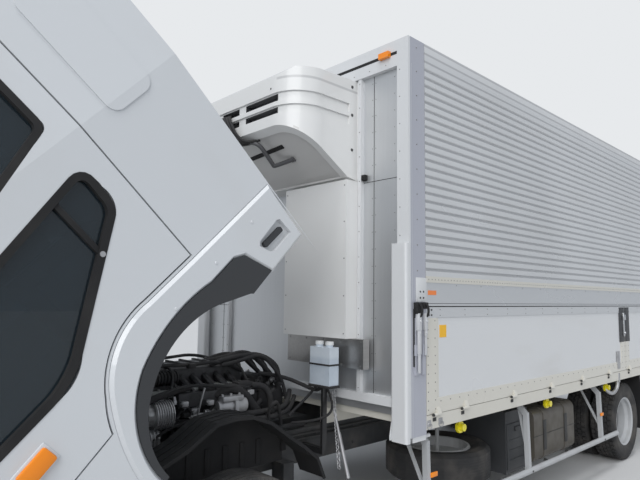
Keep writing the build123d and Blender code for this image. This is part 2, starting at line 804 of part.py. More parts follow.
# Wings: one roof half and the upper side in one ribbed shell, hinged on the roof beam
wing_front = -post_length - rear_tilt_gap
wing_rear = frame_rear + rear_tilt_gap
wing_inner = roof_beam_width / 2 + rear_tilt_gap
wing_corner = 30
strip_proud = 4
with BuildPart() as wing:
    with BuildSketch(cross_plane(wing_rear)) as wing_section:
        with BuildLine():
            Polyline(
                (wing_inner, box_top),
                (box_half, box_top),
                (box_half, wing_bottom),
                (box_half - wing_thick, wing_bottom),
                (box_half - wing_thick, box_top - wing_roof_thick),
                (wing_inner, box_top - wing_roof_thick),
                close=True,
            )
        make_face()
        fillet(wing_section.vertices().sort_by(Axis.Y)[-1], wing_corner)
        # riveted strip below the ribs and the lower edge bead: bottom, top
        for strip_low, strip_high in ((rib_band_bottom - 42, rib_band_bottom), (wing_bottom, wing_bottom + 14)):
            with Locations((box_half, (strip_low + strip_high) / 2)):
                Rectangle(2 * strip_proud, strip_high - strip_low)
        rib_count = int((box_top - 120 - rib_band_bottom) / rib_pitch)
        for rib in range(rib_count):
            rib_z = rib_band_bottom + 30 + rib * rib_pitch
            with BuildLine():
                Polyline(
                    (box_half + 1, rib_z),
                    (box_half - rib_depth, rib_z + 8),
                    (box_half - rib_depth, rib_z + 20),
                    (box_half + 1, rib_z + 28),
                    close=True,
                )
            make_face(mode=Mode.SUBTRACT)
    extrude(amount=wing_front - wing_rear)
save_pair(wing.part, "wing")

# Drop sides: two on each flank, hinged along the sill
gate_bottom = floor_top + 4
gate_top = wing_bottom - 7
gate_gap = rear_tilt_gap
# columns: node, rear X, front X
for gate_node, gate_rear, gate_front in (
    ("front_gate", gate_joint + gate_gap, wing_front),
    ("rear_gate", wing_rear, gate_joint - gate_gap),
):
    with BuildPart() as gate:
        block(gate_rear, gate_front, box_half - gate_thick, box_half, gate_bottom, gate_top)
        block(
            gate_rear + 120,
            gate_front - 120,
            box_half - 6,
            box_half + 1,
            gate_bottom + 100,
            gate_top - 70,
            Mode.SUBTRACT,
        )
        for hinge_x in gate_hinge_places:
            if gate_rear < hinge_x < gate_front:
                gate_hinge(hinge_x - gate_knuckle - knuckle_gap / 2, 1, gate_knuckle_section)
    save_pair(gate.part, gate_node)

# Rear doors: hinged outside the rear posts, with two lock bars on each
door_low = floor_top + 10
door_high = box_top - 20
rear_door_outer = box_rear - rear_door_gap - rear_door_thick
lock_bar_radius = 14
lock_bar_x = rear_door_outer - 20
with BuildPart() as rear_door:
    block(rear_door_outer, box_rear - rear_door_gap, 4, box_half - 4, door_low, door_high)
    for bar_y in (90, box_half - 330):
        bar((lock_bar_x, bar_y, door_low - 5), (lock_bar_x, bar_y, door_high), lock_bar_radius)
        for clamp_z in (door_low + 60, (door_low + door_high) / 2, door_high - 60):
            block(lock_bar_x - 10, rear_door_outer, bar_y - 30, bar_y + 30, clamp_z - 25, clamp_z + 25)
    for hinge_z in rear_hinge_heights:
        block(rear_door_outer - 14, rear_door_outer, box_half - 145, box_half - 4, hinge_z, hinge_z + strap_height)
        block(rear_hinge_x - 8, rear_door_outer, box_half - 25, rear_hinge_y, hinge_z, hinge_z + strap_height)
        bar((rear_hinge_x, rear_hinge_y, hinge_z), (rear_hinge_x, rear_hinge_y, hinge_z + strap_height), knuckle_radius)
save_pair(rear_door.part, "rear_door")

# Cab: one outer form, cut from three outlines, gives the panels, the doors and the glass
belt_z = 2000
roof_lean = 85
roof_drop = 75
screen_foot = 1700
front_corner = 260
# the rounded front edge of the roof, as distance behind the front and drop below the roof
roof_front = ((238, 190), (282, 100), (372, 35), (520, 0))


def cab_solid(inset):
    """The whole cab's form, with its upright faces and roof moved inwards by the inset."""
    rear = cab_rear + inset
    front = cab_front - inset
    roof = cab_roof - inset
    half = cab_half - inset
    low = cab_bottom - inset
    with BuildPart() as form:
        with BuildSketch(side_plane(half)) as side_outline:
            with BuildLine():
                Polyline(
                    (rear, low),
                    (front, low),
                    (front, screen_foot),
                    *[(front - back, roof - drop) for back, drop in roof_front],
                    (rear + 350, roof),
                    (rear, roof - roof_drop),
                    close=True,
                )
            make_face()
            fillet(side_outline.vertices().sort_by_distance((rear, roof - roof_drop))[0], 70 - inset / 2)
        extrude(amount=2 * half)
        with BuildSketch(cross_plane(rear - 1)) as front_outline:
            with BuildLine():
                Polyline(
                    (-half, low - 1),
                    (half, low - 1),
                    (half, belt_z),
                    (half - roof_lean, roof),
                    (-half + roof_lean, roof),
                    (-half, belt_z),
                    close=True,
                )
            make_face()
            fillet(front_outline.vertices().group_by(Axis.Y)[-1], 110 - inset / 2)
        extrude(amount=front - rear + 2, mode=Mode.INTERSECT)
        with BuildSketch(Plane.XY.offset(low - 1)) as plan_outline:
            with Locations(((rear + front) / 2, 0)):
                Rectangle(front - rear, 2 * half)
            fillet(plan_outline.vertices().group_by(Axis.X)[-1], front_corner - inset)
        extrude(amount=roof, mode=Mode.INTERSECT)
    return form.part


# outlines of the left side, as X and Z of the shut cab; a third value marks the middle of an arc
fender_line = (
    (cab_rear + 8, 1221),
    (832, 1250),
    (1120, 1268),
    (1335, 1243, 1),
    (1510, 1105),
    (1622, 905, 1),
    (1690, cab_bottom),
)
trim_line = (
    (533, 887),
    (600, 1057),
    (660, 1092),
    (830, 1098),
    (1110, 1124, 1),
    (1337, 1075),
    (1520, 925, 1),
    (1612, cab_bottom),
)
arch_line = (
    (700, 890),
    (882, 996),
    (1140, 1049, 1),
    (1362, 986),
    (1518, 852, 1),
    (1585, cab_bottom),
)
door_line = (
    (door_rear, 2490),
    (door_rear, 1262),
    (1120, 1280),
    (1341, 1252, 1),
    (1518, 1113),
    (1566, 1050, 1),
    (1600, door_bottom),
    (door_front, door_bottom),
    (door_front, 1760),
    (1950, 2440),
    (1880, 2490),
)
window_line = (
    (925, 2395),
    (926, 2100),
    (934, 2073, 1),
    (960, 2060),
    (2030, 1757),
    (2055, 1760, 1),
    (2060, 1785),
    (1915, 2380),
    (1905, 2408, 1),
    (1880, 2420),
    (950, 2420),
    (930, 2412, 1),
)
lower_window_line = (
    (921, 1760),
    (938, 1835, 1),
    (1000, 1873),
    (1960, 1730),
    (1996, 1712, 1),
    (2010, 1680),
    (2010, 1320),
    (1996, 1285, 1),
    (1960, 1270),
    (1590, 1258),
    (1520, 1275, 1),
    (1455, 1320),
    (960, 1635),
    (926, 1680, 1),
)

outer_form = cab_solid(0)
skin_form = cab_solid(cab_skin)
door_form = cab_solid(door_thick)
arch_opening = (
    (cab_rear - 1, cab_bottom - 2),
    *fender_line,
    (1690, cab_bottom - 2),
)
# raised panel behind each door
quarter_rise = 7
with BuildPart() as quarter_panels:
    add(cab_solid(-quarter_rise))
    with BuildSketch(side_plane(cab_half + 20)) as quarter_outline:
        with Locations((538, 2240)):
            RectangleRounded(260, 580, 60)
    extrude(quarter_outline.sketch, amount=2 * cab_half + 40, mode=Mode.INTERSECT)
    add(cab_solid(quarter_rise), mode=Mode.SUBTRACT)
with BuildPart() as cab_shell:
    add(outer_form)
    add(skin_form, mode=Mode.SUBTRACT)
    block(cab_rear + 1, cab_front - 30, -cab_half + 30, cab_half - 30, cab_floor, cab_floor + cab_skin)
    block(cab_rear + 1, hump_front, -hump_half, hump_half, cab_floor, hump_top)
    block(
        cab_rear - 1,
        hump_front - cab_skin,
        -hump_half + cab_skin,
        hump_half - cab_skin,
        cab_bottom - 1,
        hump_top - cab_skin,
        Mode.SUBTRACT,
    )
    for side in (-1, 1):
        near = min(side * 900, side * (cab_half + 5))
        far = max(side * 900, side * (cab_half + 5))
        add(side_cut(arch_opening, near, far), mode=Mode.SUBTRACT)
        add(side_cut(door_line, near, far), mode=Mode.SUBTRACT)
    block(cab_rear - 1, cab_rear + cab_skin + 1, -cab_half + 1, cab_half - 1, cab_bottom - 1, cab_floor, Mode.SUBTRACT)
    add(quarter_panels.part)
    with BuildSketch(cross_plane(cab_front - 700)) as screen_opening:
        with Locations((0, 2090)):
            Trapezoid(2060, 640, 84)
        fillet(screen_opening.vertices(), 80)
    extrude(amount=701, mode=Mode.SUBTRACT)
save_cab(cab_shell.part, "cab_shell")

# Wheel arch flares and their dark trims, proud of the cab's flanks
flare_face = cab_half + fender_proud
fender_outline = (*fender_line, *reversed(trim_line[1:]), (533, 875), (cab_rear + 20, 875))
trim_outline = (*trim_line, *reversed(arch_line), (700, 884), (533, 884))
fender_edge = 16
# recess of the side reflector in the rear end of the flare
recess_line = ((292, 940), (300, 1040), (320, 1052), (480, 1046), (501, 1030), (470, 962), (440, 944))
with BuildPart() as cab_fenders:
    add(side_cut([(x, z - 3, *via) for x, z, *via in fender_outline], flare_face - fender_depth, flare_face))
    chamfer(cab_fenders.faces().sort_by(Axis.Y)[-1].edges(), fender_edge)
    add(side_cut(recess_line, flare_face - 28, flare_face + 1), mode=Mode.SUBTRACT)
    mirror(about=Plane.XZ)
save_cab(cab_fenders.part, "cab_fenders")

with BuildPart() as arch_trims:
    add(side_cut(trim_outline, flare_face - trim_depth, flare_face - 2))
    with BuildSketch(side_plane(flare_face - 6)) as reflector:
        with Locations(Location((396, 1000), 4)):
            RectangleRounded(150, 30, 8)
    extrude(reflector.sketch, amount=22.5)
    mirror(about=Plane.XZ)
    add(cab_fenders.part, mode=Mode.SUBTRACT)
save_cab(arch_trims.part, "arch_trims")

# Doors: panels of the cab's own form, with both window openings cut
with BuildPart() as cab_door:
    add(outer_form)
    add(door_form, mode=Mode.SUBTRACT)
    with BuildSketch(side_plane(cab_half + 5)) as door_outline:
        with BuildLine():
            trace(door_line)
        make_face()
        offset(amount=-panel_gap)
    extrude(amount=300, mode=Mode.INTERSECT)
    for opening in (window_line, lower_window_line):
        add(side_cut(opening, 850, cab_half + 6), mode=Mode.SUBTRACT)
door_right_part = mirror(cab_door.part, about=Plane.XZ)
save_cab(cab_door.part, "cab_door_left")
save_cab(door_right_part, "cab_door_right")

glass_outer = cab_solid(glass_inset)
glass_inner = cab_solid(glass_inset + glass_thick)
with BuildPart() as panes:
    for opening in (window_line, lower_window_line):
        add(side_cut(opening, 850, cab_half + 6))
with BuildPart() as door_glass:
    add(glass_outer)
    add(glass_inner, mode=Mode.SUBTRACT)
    add(panes.part, mode=Mode.INTERSECT)
save_cab(door_glass.part, "door_glass_left")
save_cab(mirror(door_glass.part, about=Plane.XZ), "door_glass_right")

with BuildPart() as windscreen:
    add(glass_outer)
    add(glass_inner, mode=Mode.SUBTRACT)
    with BuildSketch(cross_plane(cab_front - 700)) as screen_pane:
        with Locations((0, 2090)):
            Trapezoid(2060, 640, 84)
        fillet(screen_pane.vertices(), 80)
    extrude(amount=701, mode=Mode.INTERSECT)
save_cab(windscreen.part, "windscreen")

# Cab face: grille bars and headlamps below the windscreen
with BuildPart() as cab_face:
    for slat in range(5):
        slat_z = 960 + slat * 110
        block(cab_front, cab_front + 12, -700, 700, slat_z, slat_z + 55)
    block(cab_front, cab_front + 6, -720, -700, 960, 1455)
    block(cab_front, cab_front + 6, 700, 720, 960, 1455)
    for side in (-1, 1):
        block(cab_front, cab_front + 14, side * 740, side * 890, 760, 900)
save_cab(cab_face.part, "cab_face")

# Cab interior: dash, seats with their backs and the steering wheel on the right
seat_half = 235
with BuildPart() as cab_interior:
    block(1900, 2160, -1000, 1000, cab_floor + cab_skin + 200, 1700)
    block(1900, 2140, -1000, 1000, cab_floor + cab_skin, cab_floor + cab_skin + 200)
    for seat_y in (-720, 720):
        block(900, 1350, seat_y - seat_half, seat_y + seat_half, cab_floor + cab_skin, 1600)
        block(780, 900, seat_y - seat_half, seat_y + seat_half, cab_floor + cab_skin, 2250)
    block(cab_rear + cab_skin + 0.3, 720, -1050, 1050, hump_top + 0.3, 1560)
    wheel_plane = Plane(origin=(1700, -700, 1880), z_dir=(-0.5, 0, 0.86))
    with BuildSketch(wheel_plane):
        Circle(215)
        Circle(190, mode=Mode.SUBTRACT)
        Rectangle(400, 40)
        Circle(60)
    extrude(amount=22)
    rod((1700, -700, 1885), (1960, -700, 1440), 30)
save_cab(cab_interior.part, "cab_interior")

# Mirrors on arms from the front pillars
mirror_x = cab_front - 60
mirror_y = cab_half + 190
with BuildPart() as mirrors:
    bar((cab_front - 120, cab_half - 110, 1760), (mirror_x, mirror_y, 1760), 12)
    bar((cab_front - 290, cab_half - 110, 2250), (mirror_x, mirror_y, 2250), 12)
    bar((mirror_x, mirror_y, 1740), (mirror_x, mirror_y, 2270), 14)
    block(mirror_x - 30, mirror_x + 40, mirror_y - 90, mirror_y + 100, 1820, 2200)
    add(cab_solid(-hang_gap), mode=Mode.SUBTRACT)
    mirror(about=Plane.XZ)
save_cab(mirrors.part, "mirrors")

# Tilt cylinder on the right: barrel on the rail's bracket, rod up to the cab's lug
foot_x = 1600
foot_z = 640
cylinder_y = -600
lug_x = 1480
lug_z = 1140
barrel_radius = 28
rod_radius = 14
barrel_length = 440
with BuildPart() as tilt_bracket:
    for ear_y in (cylinder_y - 44, cylinder_y + 34):
        block(foot_x - 30, foot_x + 30, ear_y, ear_y + 10, foot_z - 40, foot_z + 30)
    block(foot_x - 30, foot_x + 30, cylinder_y - 44, -rail_outer - hang_gap, foot_z - 60, foot_z - 40)
    block(foot_x - 30, foot_x + 30, -rail_outer - 12, -rail_outer - hang_gap, foot_z - 60, foot_z + 60)
    rod((foot_x, cylinder_y - 44, foot_z), (foot_x, cylinder_y + 44, foot_z), 9)
save(tilt_bracket.part, "tilt_bracket")

tilt_angle = math.radians(rest_tilt)
lug_reach = (lug_x - tilt_x, lug_z - tilt_z)
eye_x = tilt_x + lug_reach[0] * math.cos(tilt_angle) + lug_reach[1] * math.sin(tilt_angle)
eye_z = tilt_z - lug_reach[0] * math.sin(tilt_angle) + lug_reach[1] * math.cos(tilt_angle)
foot = Vector(foot_x, cylinder_y, foot_z)
eye = Vector(eye_x, cylinder_y, eye_z)
along = (eye - foot).normalized()
with BuildPart() as tilt_barrel:
    barrel_top = foot + along * barrel_length
    rod(tuple(foot + along * 24), tuple(barrel_top), barrel_radius)
    rod((foot_x, cylinder_y - 17, foot_z), (foot_x, cylinder_y + 17, foot_z), 26)
    rod(tuple(foot + along * 34), tuple(foot + along * (barrel_length + 1)), rod_radius + 0.5, Mode.SUBTRACT)
    rod((foot_x, cylinder_y - 18, foot_z), (foot_x, cylinder_y + 18, foot_z), 9.5, Mode.SUBTRACT)
save(tilt_barrel.part, "tilt_barrel")

with BuildPart() as tilt_rod:
    rod(tuple(eye - along * 460), tuple(eye - along * 26), rod_radius)
    rod((eye_x, cylinder_y - 15, eye_z), (eye_x, cylinder_y + 15, eye_z), 34)
    rod((eye_x, cylinder_y - 16, eye_z), (eye_x, cylinder_y + 16, eye_z), 24, Mode.SUBTRACT)
save(tilt_rod.part, "tilt_rod")

hinge_pin = 15
with BuildPart() as tilt_arms:
    for ear_y in (cylinder_y - 34, cylinder_y + 24):
        block(lug_x - 25, lug_x + 25, ear_y, ear_y + 10, lug_z - 20, cab_floor)
    for side in (-1, 1):
        block(tilt_x - 24, tilt_x + 24, side * 295, side * 325, tilt_z, cab_floor)
        rod((tilt_x, side * 295, tilt_z), (tilt_x, side * 325, tilt_z), 24)
        rod((tilt_x, side * 290, tilt_z), (tilt_x, side * 330, tilt_z), hinge_pin + 0.5, Mode.SUBTRACT)
save_cab(tilt_arms.part, "tilt_arms")

# Tilt hinge: brackets on the rails and arms under the cab floor, on one pin line
with BuildPart() as tilt_hinge:
    for side in (-1, 1):
        block(tilt_x - 15, tilt_x + 35, side * 335, side * 350, cross_front_top, tilt_z + 24)
    rod((tilt_x, -350, tilt_z), (tilt_x, 350, tilt_z), hinge_pin)
save(tilt_hinge.part, "tilt_hinge")

# Side guards: bent stays of square tube with braces and a long tube on each flank
rail_tube_y = 1215
rail_tube_z = 365
rail_tube_radius = 24
guard_front = -215
guard_rear = -3650
stay_radius = 27
stay_top = floor_top - 50.3
with BuildPart() as side_guards:
    bar((guard_rear, rail_tube_y, rail_tube_z), (guard_front, rail_tube_y, rail_tube_z), rail_tube_radius, 12)
    # columns: X of the stay, Y of its brace's head
    for stay_x, brace_head in ((-250, 950), (-1660, 1110), (-3250, 950)):
        bar((stay_x, 1054, stay_top), (stay_x, 1190, 812), stay_radius, 4)
        bar((stay_x, 1187, 830), (stay_x, rail_tube_y - 16, rail_tube_z), stay_radius, 4)
        block(stay_x - 19, stay_x + 19, 1020, 1100, stay_top - 8, stay_top)
        bar((stay_x, brace_head, stay_top), (stay_x, 1195, 480), 13, 4)
    mirror(about=Plane.XZ)
    block(guard_rear - 40, guard_front + 40, -1300, 1300, stay_top, stay_top + 60, Mode.SUBTRACT)
save(side_guards.part, "side_guards")

# Marker lamps: yellow cones along the sills, amber ones on the header
lamp_z = 845
lamp_y = 1140
with BuildPart() as marker_lamps:
    for lamp_x in (-714, -2130, -3560):
        bar((lamp_x, lamp_y, lamp_z), (lamp_x, lamp_y + 22, lamp_z), 44)
        bar((lamp_x, lamp_y + 21, lamp_z), (lamp_x, lamp_y + 52, lamp_z), 27)
        block(lamp_x - 15, lamp_x + 15, lamp_y - 35, lamp_y + 1, lamp_z - 15, stay_top)
    block(0.3, 30, 1005, 1095, box_top - 110, box_top - 70)
    mirror(about=Plane.XZ)
save(marker_lamps.part, "marker_lamps")

# Washer bottle on its stand behind the engine
bottle_rear = 112
bottle_front = cab_rear - 12
bottle_bottom = 1165
bottle_shoulder = 1425
bottle_inner = 530
bottle_outer = 725
bottle_middle = (bottle_rear + bottle_front) / 2
bottle_arm_z = 700
with BuildPart() as washer_bottle:
    block(bottle_rear, bottle_front, bottle_inner, bottle_outer, bottle_bottom, bottle_shoulder)
    rod((bottle_middle, 580, bottle_shoulder), (bottle_middle, 580, bottle_shoulder + 27), 26)
    rod((bottle_middle, 680, bottle_shoulder), (bottle_middle, 680, bottle_shoulder + 27), 26)
    block(bottle_middle - 20, bottle_middle + 20, rail_outer + hang_gap, 640, bottle_arm_z, bottle_arm_z + 40)
    block(bottle_middle - 20, bottle_middle + 20, 620, 640, bottle_arm_z + 40, bottle_bottom)
save(washer_bottle.part, "washer_bottle")

# Rear bar with its lamps, hung from the rails
with BuildPart() as rear_bar:
    block(box_rear + 30, box_rear + 110, -1150, 1150, 430, 550)
    for side in (-1, 1):
        block(box_rear + 40, box_rear + 100, side * 340, side * 400, 550, rail_bottom + 60)
        block(box_rear + 100, frame_rear + 60, side * 340, side * 400, rail_bottom - 60, rail_bottom - 0.3)
        block(box_rear + 20, box_rear + 110, side * 700, side * 1130, 600, 720)
        block(box_rear + 50, box_rear + 100, side * 850, side * 900, 550, 600)
save(rear_bar.part, "rear_bar")

# Cold unit: a moulded housing with a sloping underside, swept grooves and air slots
unit_corner = 240
unit_tail = 60
groove_depth = 14
groove_rear = 66
slot_depth = 70
slot_drop = 8
underside_rim = 58
underside_depth = 12


def unit_plan(height, inset):
    """Plan of the housing at a height, moved inwards by the inset, with both front corners rounded."""
    with BuildSketch(Plane.XY.offset(height)) as plan:
        with Locations(((unit_depth - inset - unit_tail) / 2, 0)):
            Rectangle(unit_depth - inset + unit_tail, 2 * (unit_half - inset))
        fillet(plan.vertices().group_by(Axis.X)[-1], unit_corner - inset)
    return plan.sketch


with BuildPart() as cold_unit:
    extrude(unit_plan(unit_bottom, 0), amount=unit_top - unit_bottom)
    # swept grooves round the front and both corners, each with its air slots behind
    # columns: lower edge, upper edge
    for groove_low, groove_high in ((3014, 3072), (3102, 3166)):
        with BuildPart(mode=Mode.PRIVATE) as groove:
            extrude(unit_plan(groove_low, -1), amount=groove_high - groove_low)
            extrude(unit_plan(groove_low - 1, groove_depth), amount=unit_top - groove_low, mode=Mode.SUBTRACT)
            block(-unit_tail - 2, groove_rear, -unit_half - 2, unit_half + 2, groove_low - 1, groove_high + 1, Mode.SUBTRACT)
        add(groove.part, mode=Mode.SUBTRACT)
        # columns: right end, left end of each air slot
        for slot_right, slot_left in ((-560, -190), (-110, 110), (190, 560)):
            block(
                unit_depth - slot_depth,
                unit_depth,
                slot_right,
                slot_left,
                groove_low + slot_drop,
                groove_high - slot_drop,
                Mode.SUBTRACT,
            )
    with BuildSketch(side_plane(unit_half + 1)):
        with BuildLine():
            Polyline(
                (0.3 - wall_recess, unit_bottom),
                (80, unit_bottom + 20),
                (unit_depth, lip_height),
                (unit_depth, unit_top - 60),
                (unit_depth - 60, unit_top - 15),
                (0.3 - wall_recess, unit_top),
                close=True,
            )
        make_face()
    extrude(amount=2 * unit_half + 2, mode=Mode.INTERSECT)
    # flat panel let into the sloping underside
    with BuildPart(mode=Mode.PRIVATE) as underside:
        extrude(unit_plan(unit_bottom, underside_rim), amount=unit_top - unit_bottom)
        with BuildSketch(side_plane(unit_half + 1)):
            with BuildLine():
                Polyline(
                    (80, unit_bottom + 19),
                    (unit_depth, lip_height - 1),
                    (unit_depth, lip_height + underside_depth),
                    (80, unit_bottom + 20 + underside_depth),
                    close=True,
                )
            make_face()
        extrude(amount=2 * unit_half + 2, mode=Mode.INTERSECT)
    add(underside.part, mode=Mode.SUBTRACT)
save(cold_unit.part, "cold_unit")

# Pipe cover under the unit and the steel box below it
with BuildPart() as pipe_cover:
    block(-wall_recess + 0.3, 107, 120, 783, 1485, unit_bottom - 5)
    block(0.3, 60, 120, 905, 1285, 1484.7)
save(pipe_cover.part, "pipe_cover")
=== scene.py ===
"""Dresses the refrigerated truck: finishes for its solids, tyres with tread, small trim, and a plain stage."""

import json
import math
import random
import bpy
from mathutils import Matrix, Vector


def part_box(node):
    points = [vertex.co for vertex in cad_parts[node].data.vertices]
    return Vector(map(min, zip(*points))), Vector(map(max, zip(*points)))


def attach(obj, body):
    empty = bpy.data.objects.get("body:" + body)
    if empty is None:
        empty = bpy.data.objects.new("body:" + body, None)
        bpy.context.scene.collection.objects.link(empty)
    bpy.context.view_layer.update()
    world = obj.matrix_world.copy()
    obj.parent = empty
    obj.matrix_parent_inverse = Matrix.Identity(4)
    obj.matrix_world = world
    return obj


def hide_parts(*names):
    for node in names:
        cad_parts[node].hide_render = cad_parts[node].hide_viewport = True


bl_info = {
    "name": "Refrigerated truck",
    "version": (1, 0, 0),
    "blender": (4, 5, 0),
    "location": "View3D > Sidebar > Truck",
    "description": "Finishes, tyres, trim and stage of a refrigerated truck with a tilted cab",
    "category": "Object",
}

from contextlib import contextmanager

import bmesh
import bpy
from mathutils import Matrix, Vector

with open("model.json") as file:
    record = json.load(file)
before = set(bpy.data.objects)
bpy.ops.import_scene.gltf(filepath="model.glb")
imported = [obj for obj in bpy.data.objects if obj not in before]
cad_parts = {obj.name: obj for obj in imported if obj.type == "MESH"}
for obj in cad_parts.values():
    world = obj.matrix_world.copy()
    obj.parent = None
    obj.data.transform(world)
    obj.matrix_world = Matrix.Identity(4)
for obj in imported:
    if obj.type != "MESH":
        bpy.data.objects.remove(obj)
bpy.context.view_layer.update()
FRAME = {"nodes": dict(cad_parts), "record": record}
NODES = FRAME["nodes"]

# The front face of the load box lies this far ahead of the origin; measured places along the truck start there
BOX_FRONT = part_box("front_gate_left")[1].x + 0.184
CAB_PIVOT = Vector((BOX_FRONT + 1.970, 0.0, 0.780))
CAB_TILT = math.radians(47)
CAB_MATRIX = (
    Matrix.Translation(CAB_PIVOT) @ Matrix.Rotation(CAB_TILT, 4, "Y") @ Matrix.Translation(-CAB_PIVOT)
)
SIDES = (("left", 1), ("right", -1))
SHARP_ANGLE = math.radians(35)
AHEAD, ACROSS, UP = (1, 0, 0), (0, 1, 0), (0, 0, 1)

# Places that several pieces share
BOX_SIDE = 1.245
AXLE_HEIGHT = 0.420
FRONT_AXLE, FRONT_TRACK = 1.098, 0.965
REAR_AXLE, OUTER_TRACK, INNER_TRACK = -4.073, 1.053, 0.773

# Colours that several finishes share
ROAD_DUST = (0.42, 0.38, 0.32)
PALE_DUST = (0.40, 0.37, 0.31)
GREY_DUST = (0.45, 0.43, 0.38)
TYRE_BLACK = (0.022, 0.022, 0.023)
UNIT_WHITE = (0.74, 0.74, 0.73)
ALUMINIUM = (0.60, 0.61, 0.62)


class Term:
    """One socket of a node tree, so that shader maths reads as a formula."""

    def __init__(self, finish, socket):
        self.finish = finish
        self.socket = socket

    def maths(self, operation, *values, clamp=False):
        node = self.finish.node("ShaderNodeMath", {"operation": operation, "use_clamp": clamp}, dict(enumerate(values)))
        return Term(self.finish, node.outputs[0])

    def __add__(self, other):
        return self.maths("ADD", self, other)

    __radd__ = __add__

    def __mul__(self, other):
        return self.maths("MULTIPLY", self, other)

    __rmul__ = __mul__

    def __sub__(self, other):
        return self.maths("SUBTRACT", self, other)

    def __rsub__(self, other):
        return self.maths("SUBTRACT", other, self)

    def __truediv__(self, other):
        return self.maths("DIVIDE", self, other)

    def __pow__(self, other):
        return self.maths("POWER", self, other)

    def window(self, low, high, soft=0.002):
        """1 from low to high and 0 outside, with soft ends."""
        return self.between(low - soft, low + soft) * (1 - self.between(high - soft, high + soft))

    def between(self, low, high):
        """0 below low and 1 above high, smooth between them."""
        node = self.finish.node(
            "ShaderNodeMapRange",
            {"interpolation_type": "SMOOTHSTEP"},
            {"Value": self, "From Min": low, "From Max": high},
        )
        return Term(self.finish, node.outputs[0])


class Finish:
    """A material of one principled surface, with the helpers that its pattern needs."""

    def __init__(self, name, colour, roughness, metallic=0.0, coat=0.0):
        self.material = bpy.data.materials.new(name)
        self.material.use_nodes = True
        self.tree = self.material.node_tree
        self.surface = self.tree.nodes["Principled BSDF"]
        self.colour = tuple(colour)[:3]
        self.surface.inputs["Base Color"].default_value = (*self.colour, 1.0)
        self.surface.inputs["Roughness"].default_value = roughness
        self.surface.inputs["Metallic"].default_value = metallic
        self.surface.inputs["Coat Weight"].default_value = coat
        self.place = Term(self, self.node("ShaderNodeTexCoord", {}, {}).outputs["Object"])

    def node(self, kind, settings, inputs):
        """Add a node, with its settings first and then the values or links of its sockets."""
        node = self.tree.nodes.new(kind)
        for key, value in settings.items():
            setattr(node, key, value)
        for key, value in inputs.items():
            if isinstance(value, Term):
                self.tree.links.new(value.socket, node.inputs[key])
            else:
                node.inputs[key].default_value = value
        return node

    def noise(self, scale, detail=3.0, stretch=(1, 1, 1), roughness=0.5):
        """Soft spots over the object's own coordinates, stretched along an axis where asked."""
        spread = self.node("ShaderNodeMapping", {}, {"Vector": self.place, "Scale": stretch})
        node = self.node(
            "ShaderNodeTexNoise",
            {},
            {"Vector": Term(self, spread.outputs[0]), "Scale": scale, "Detail": detail, "Roughness": roughness},
        )
        return Term(self, node.outputs["Fac"])

    def along(self, axis):
        """The distance along one axis of the object."""
        node = self.node("ShaderNodeSeparateXYZ", {}, {"Vector": self.place})
        return Term(self, node.outputs[axis])

    def height(self):
        return self.along("Z")

    def ahead(self):
        """The distance ahead of the load box's front face."""
        return self.along("X") - BOX_FRONT

    def off_middle(self):
        return self.along("Y").maths("ABSOLUTE", self.along("Y"))

    def round_axle(self, axle_x, axle_z):
        """The distance from an axle and the turn about it, from 0 to 1."""
        across = self.ahead() - axle_x
        up = self.height() - axle_z
        reach = (across * across + up * up) ** 0.5
        turn = across.maths("ARCTAN2", up, across) / (2 * math.pi)
        return reach, turn

    def blend(self, factor, first, second):
        """A mix of two colours, each a plain colour or a term."""
        node = self.node("ShaderNodeMix", {"data_type": "RGBA"}, {"Factor": factor})
        for socket, value in ((node.inputs[6], first), (node.inputs[7], second)):
            if isinstance(value, Term):
                self.tree.links.new(value.socket, socket)
            else:
                socket.default_value = (*value[:3], 1.0)
        return Term(self, node.outputs[2])

    def feed(self, **inputs):
        """Link terms to sockets of the surface, such as Base_Color."""
        for key, term in inputs.items():
            self.tree.links.new(term.socket, self.surface.inputs[key.replace("_", " ")])
        return self

    def bump(self, height, strength, distance):
        node = self.node("ShaderNodeBump", {}, {"Height": height, "Strength": strength, "Distance": distance})
        self.tree.links.new(node.outputs[0], self.surface.inputs["Normal"])
        return self

    def dusted(self, amount, dust=ROAD_DUST, low=0.45, high=0.75, scale=3.0):
        """Road dust in patches over the plain colour."""
        mask = self.noise(scale, 5.0).between(low, high) * amount
        return self.feed(Base_Color=self.blend(mask, self.colour, dust))


def paint_finish(name, colour, roughness, coat):
    finish = Finish(name, colour, roughness, 0.0, coat)
    finish.dusted(0.08, scale=2.0)
    return finish.material


def panel_finish(name, colour, roughness):
    """Stainless sheet, brushed upwards."""
    finish = Finish(name, colour, roughness, 1.0)
    streaks = finish.noise(1.0, 4.0, (60.0, 60.0, 1.2), 0.6)
    clouds = finish.noise(1.6, 2.0)
    finish.feed(Roughness=(streaks - 0.5) * 0.16 + (clouds - 0.5) * 0.12 + roughness)
    finish.feed(Base_Color=finish.blend(streaks * 0.5, colour, [value * 0.88 for value in colour]))
    return finish.material


def chassis_finish(name, colour, roughness, dust, dust_colour=(0.11, 0.10, 0.09)):
    finish = Finish(name, colour, roughness)
    finish.dusted(dust, dust_colour, scale=6.0)
    finish.feed(Roughness=finish.noise(9.0).between(0.3, 0.8) * 0.25 + roughness)
    return finish.material


def casting_finish(name, colour, metallic):
    finish = Finish(name, colour, 0.55, metallic)
    grain = finish.noise(60.0, 6.0)
    finish.dusted(0.45, [value * 0.45 for value in colour], scale=9.0)
    finish.bump(grain, 0.25, 0.002)
    return finish.material


def rubber_finish(name, colour, dust=0.30):
    finish = Finish(name, colour, 0.82)
    finish.dusted(dust, (0.085, 0.078, 0.07), 0.35, 0.75, 5.0)
    finish.bump(finish.noise(220.0, 3.0), 0.15, 0.001)
    return finish.material


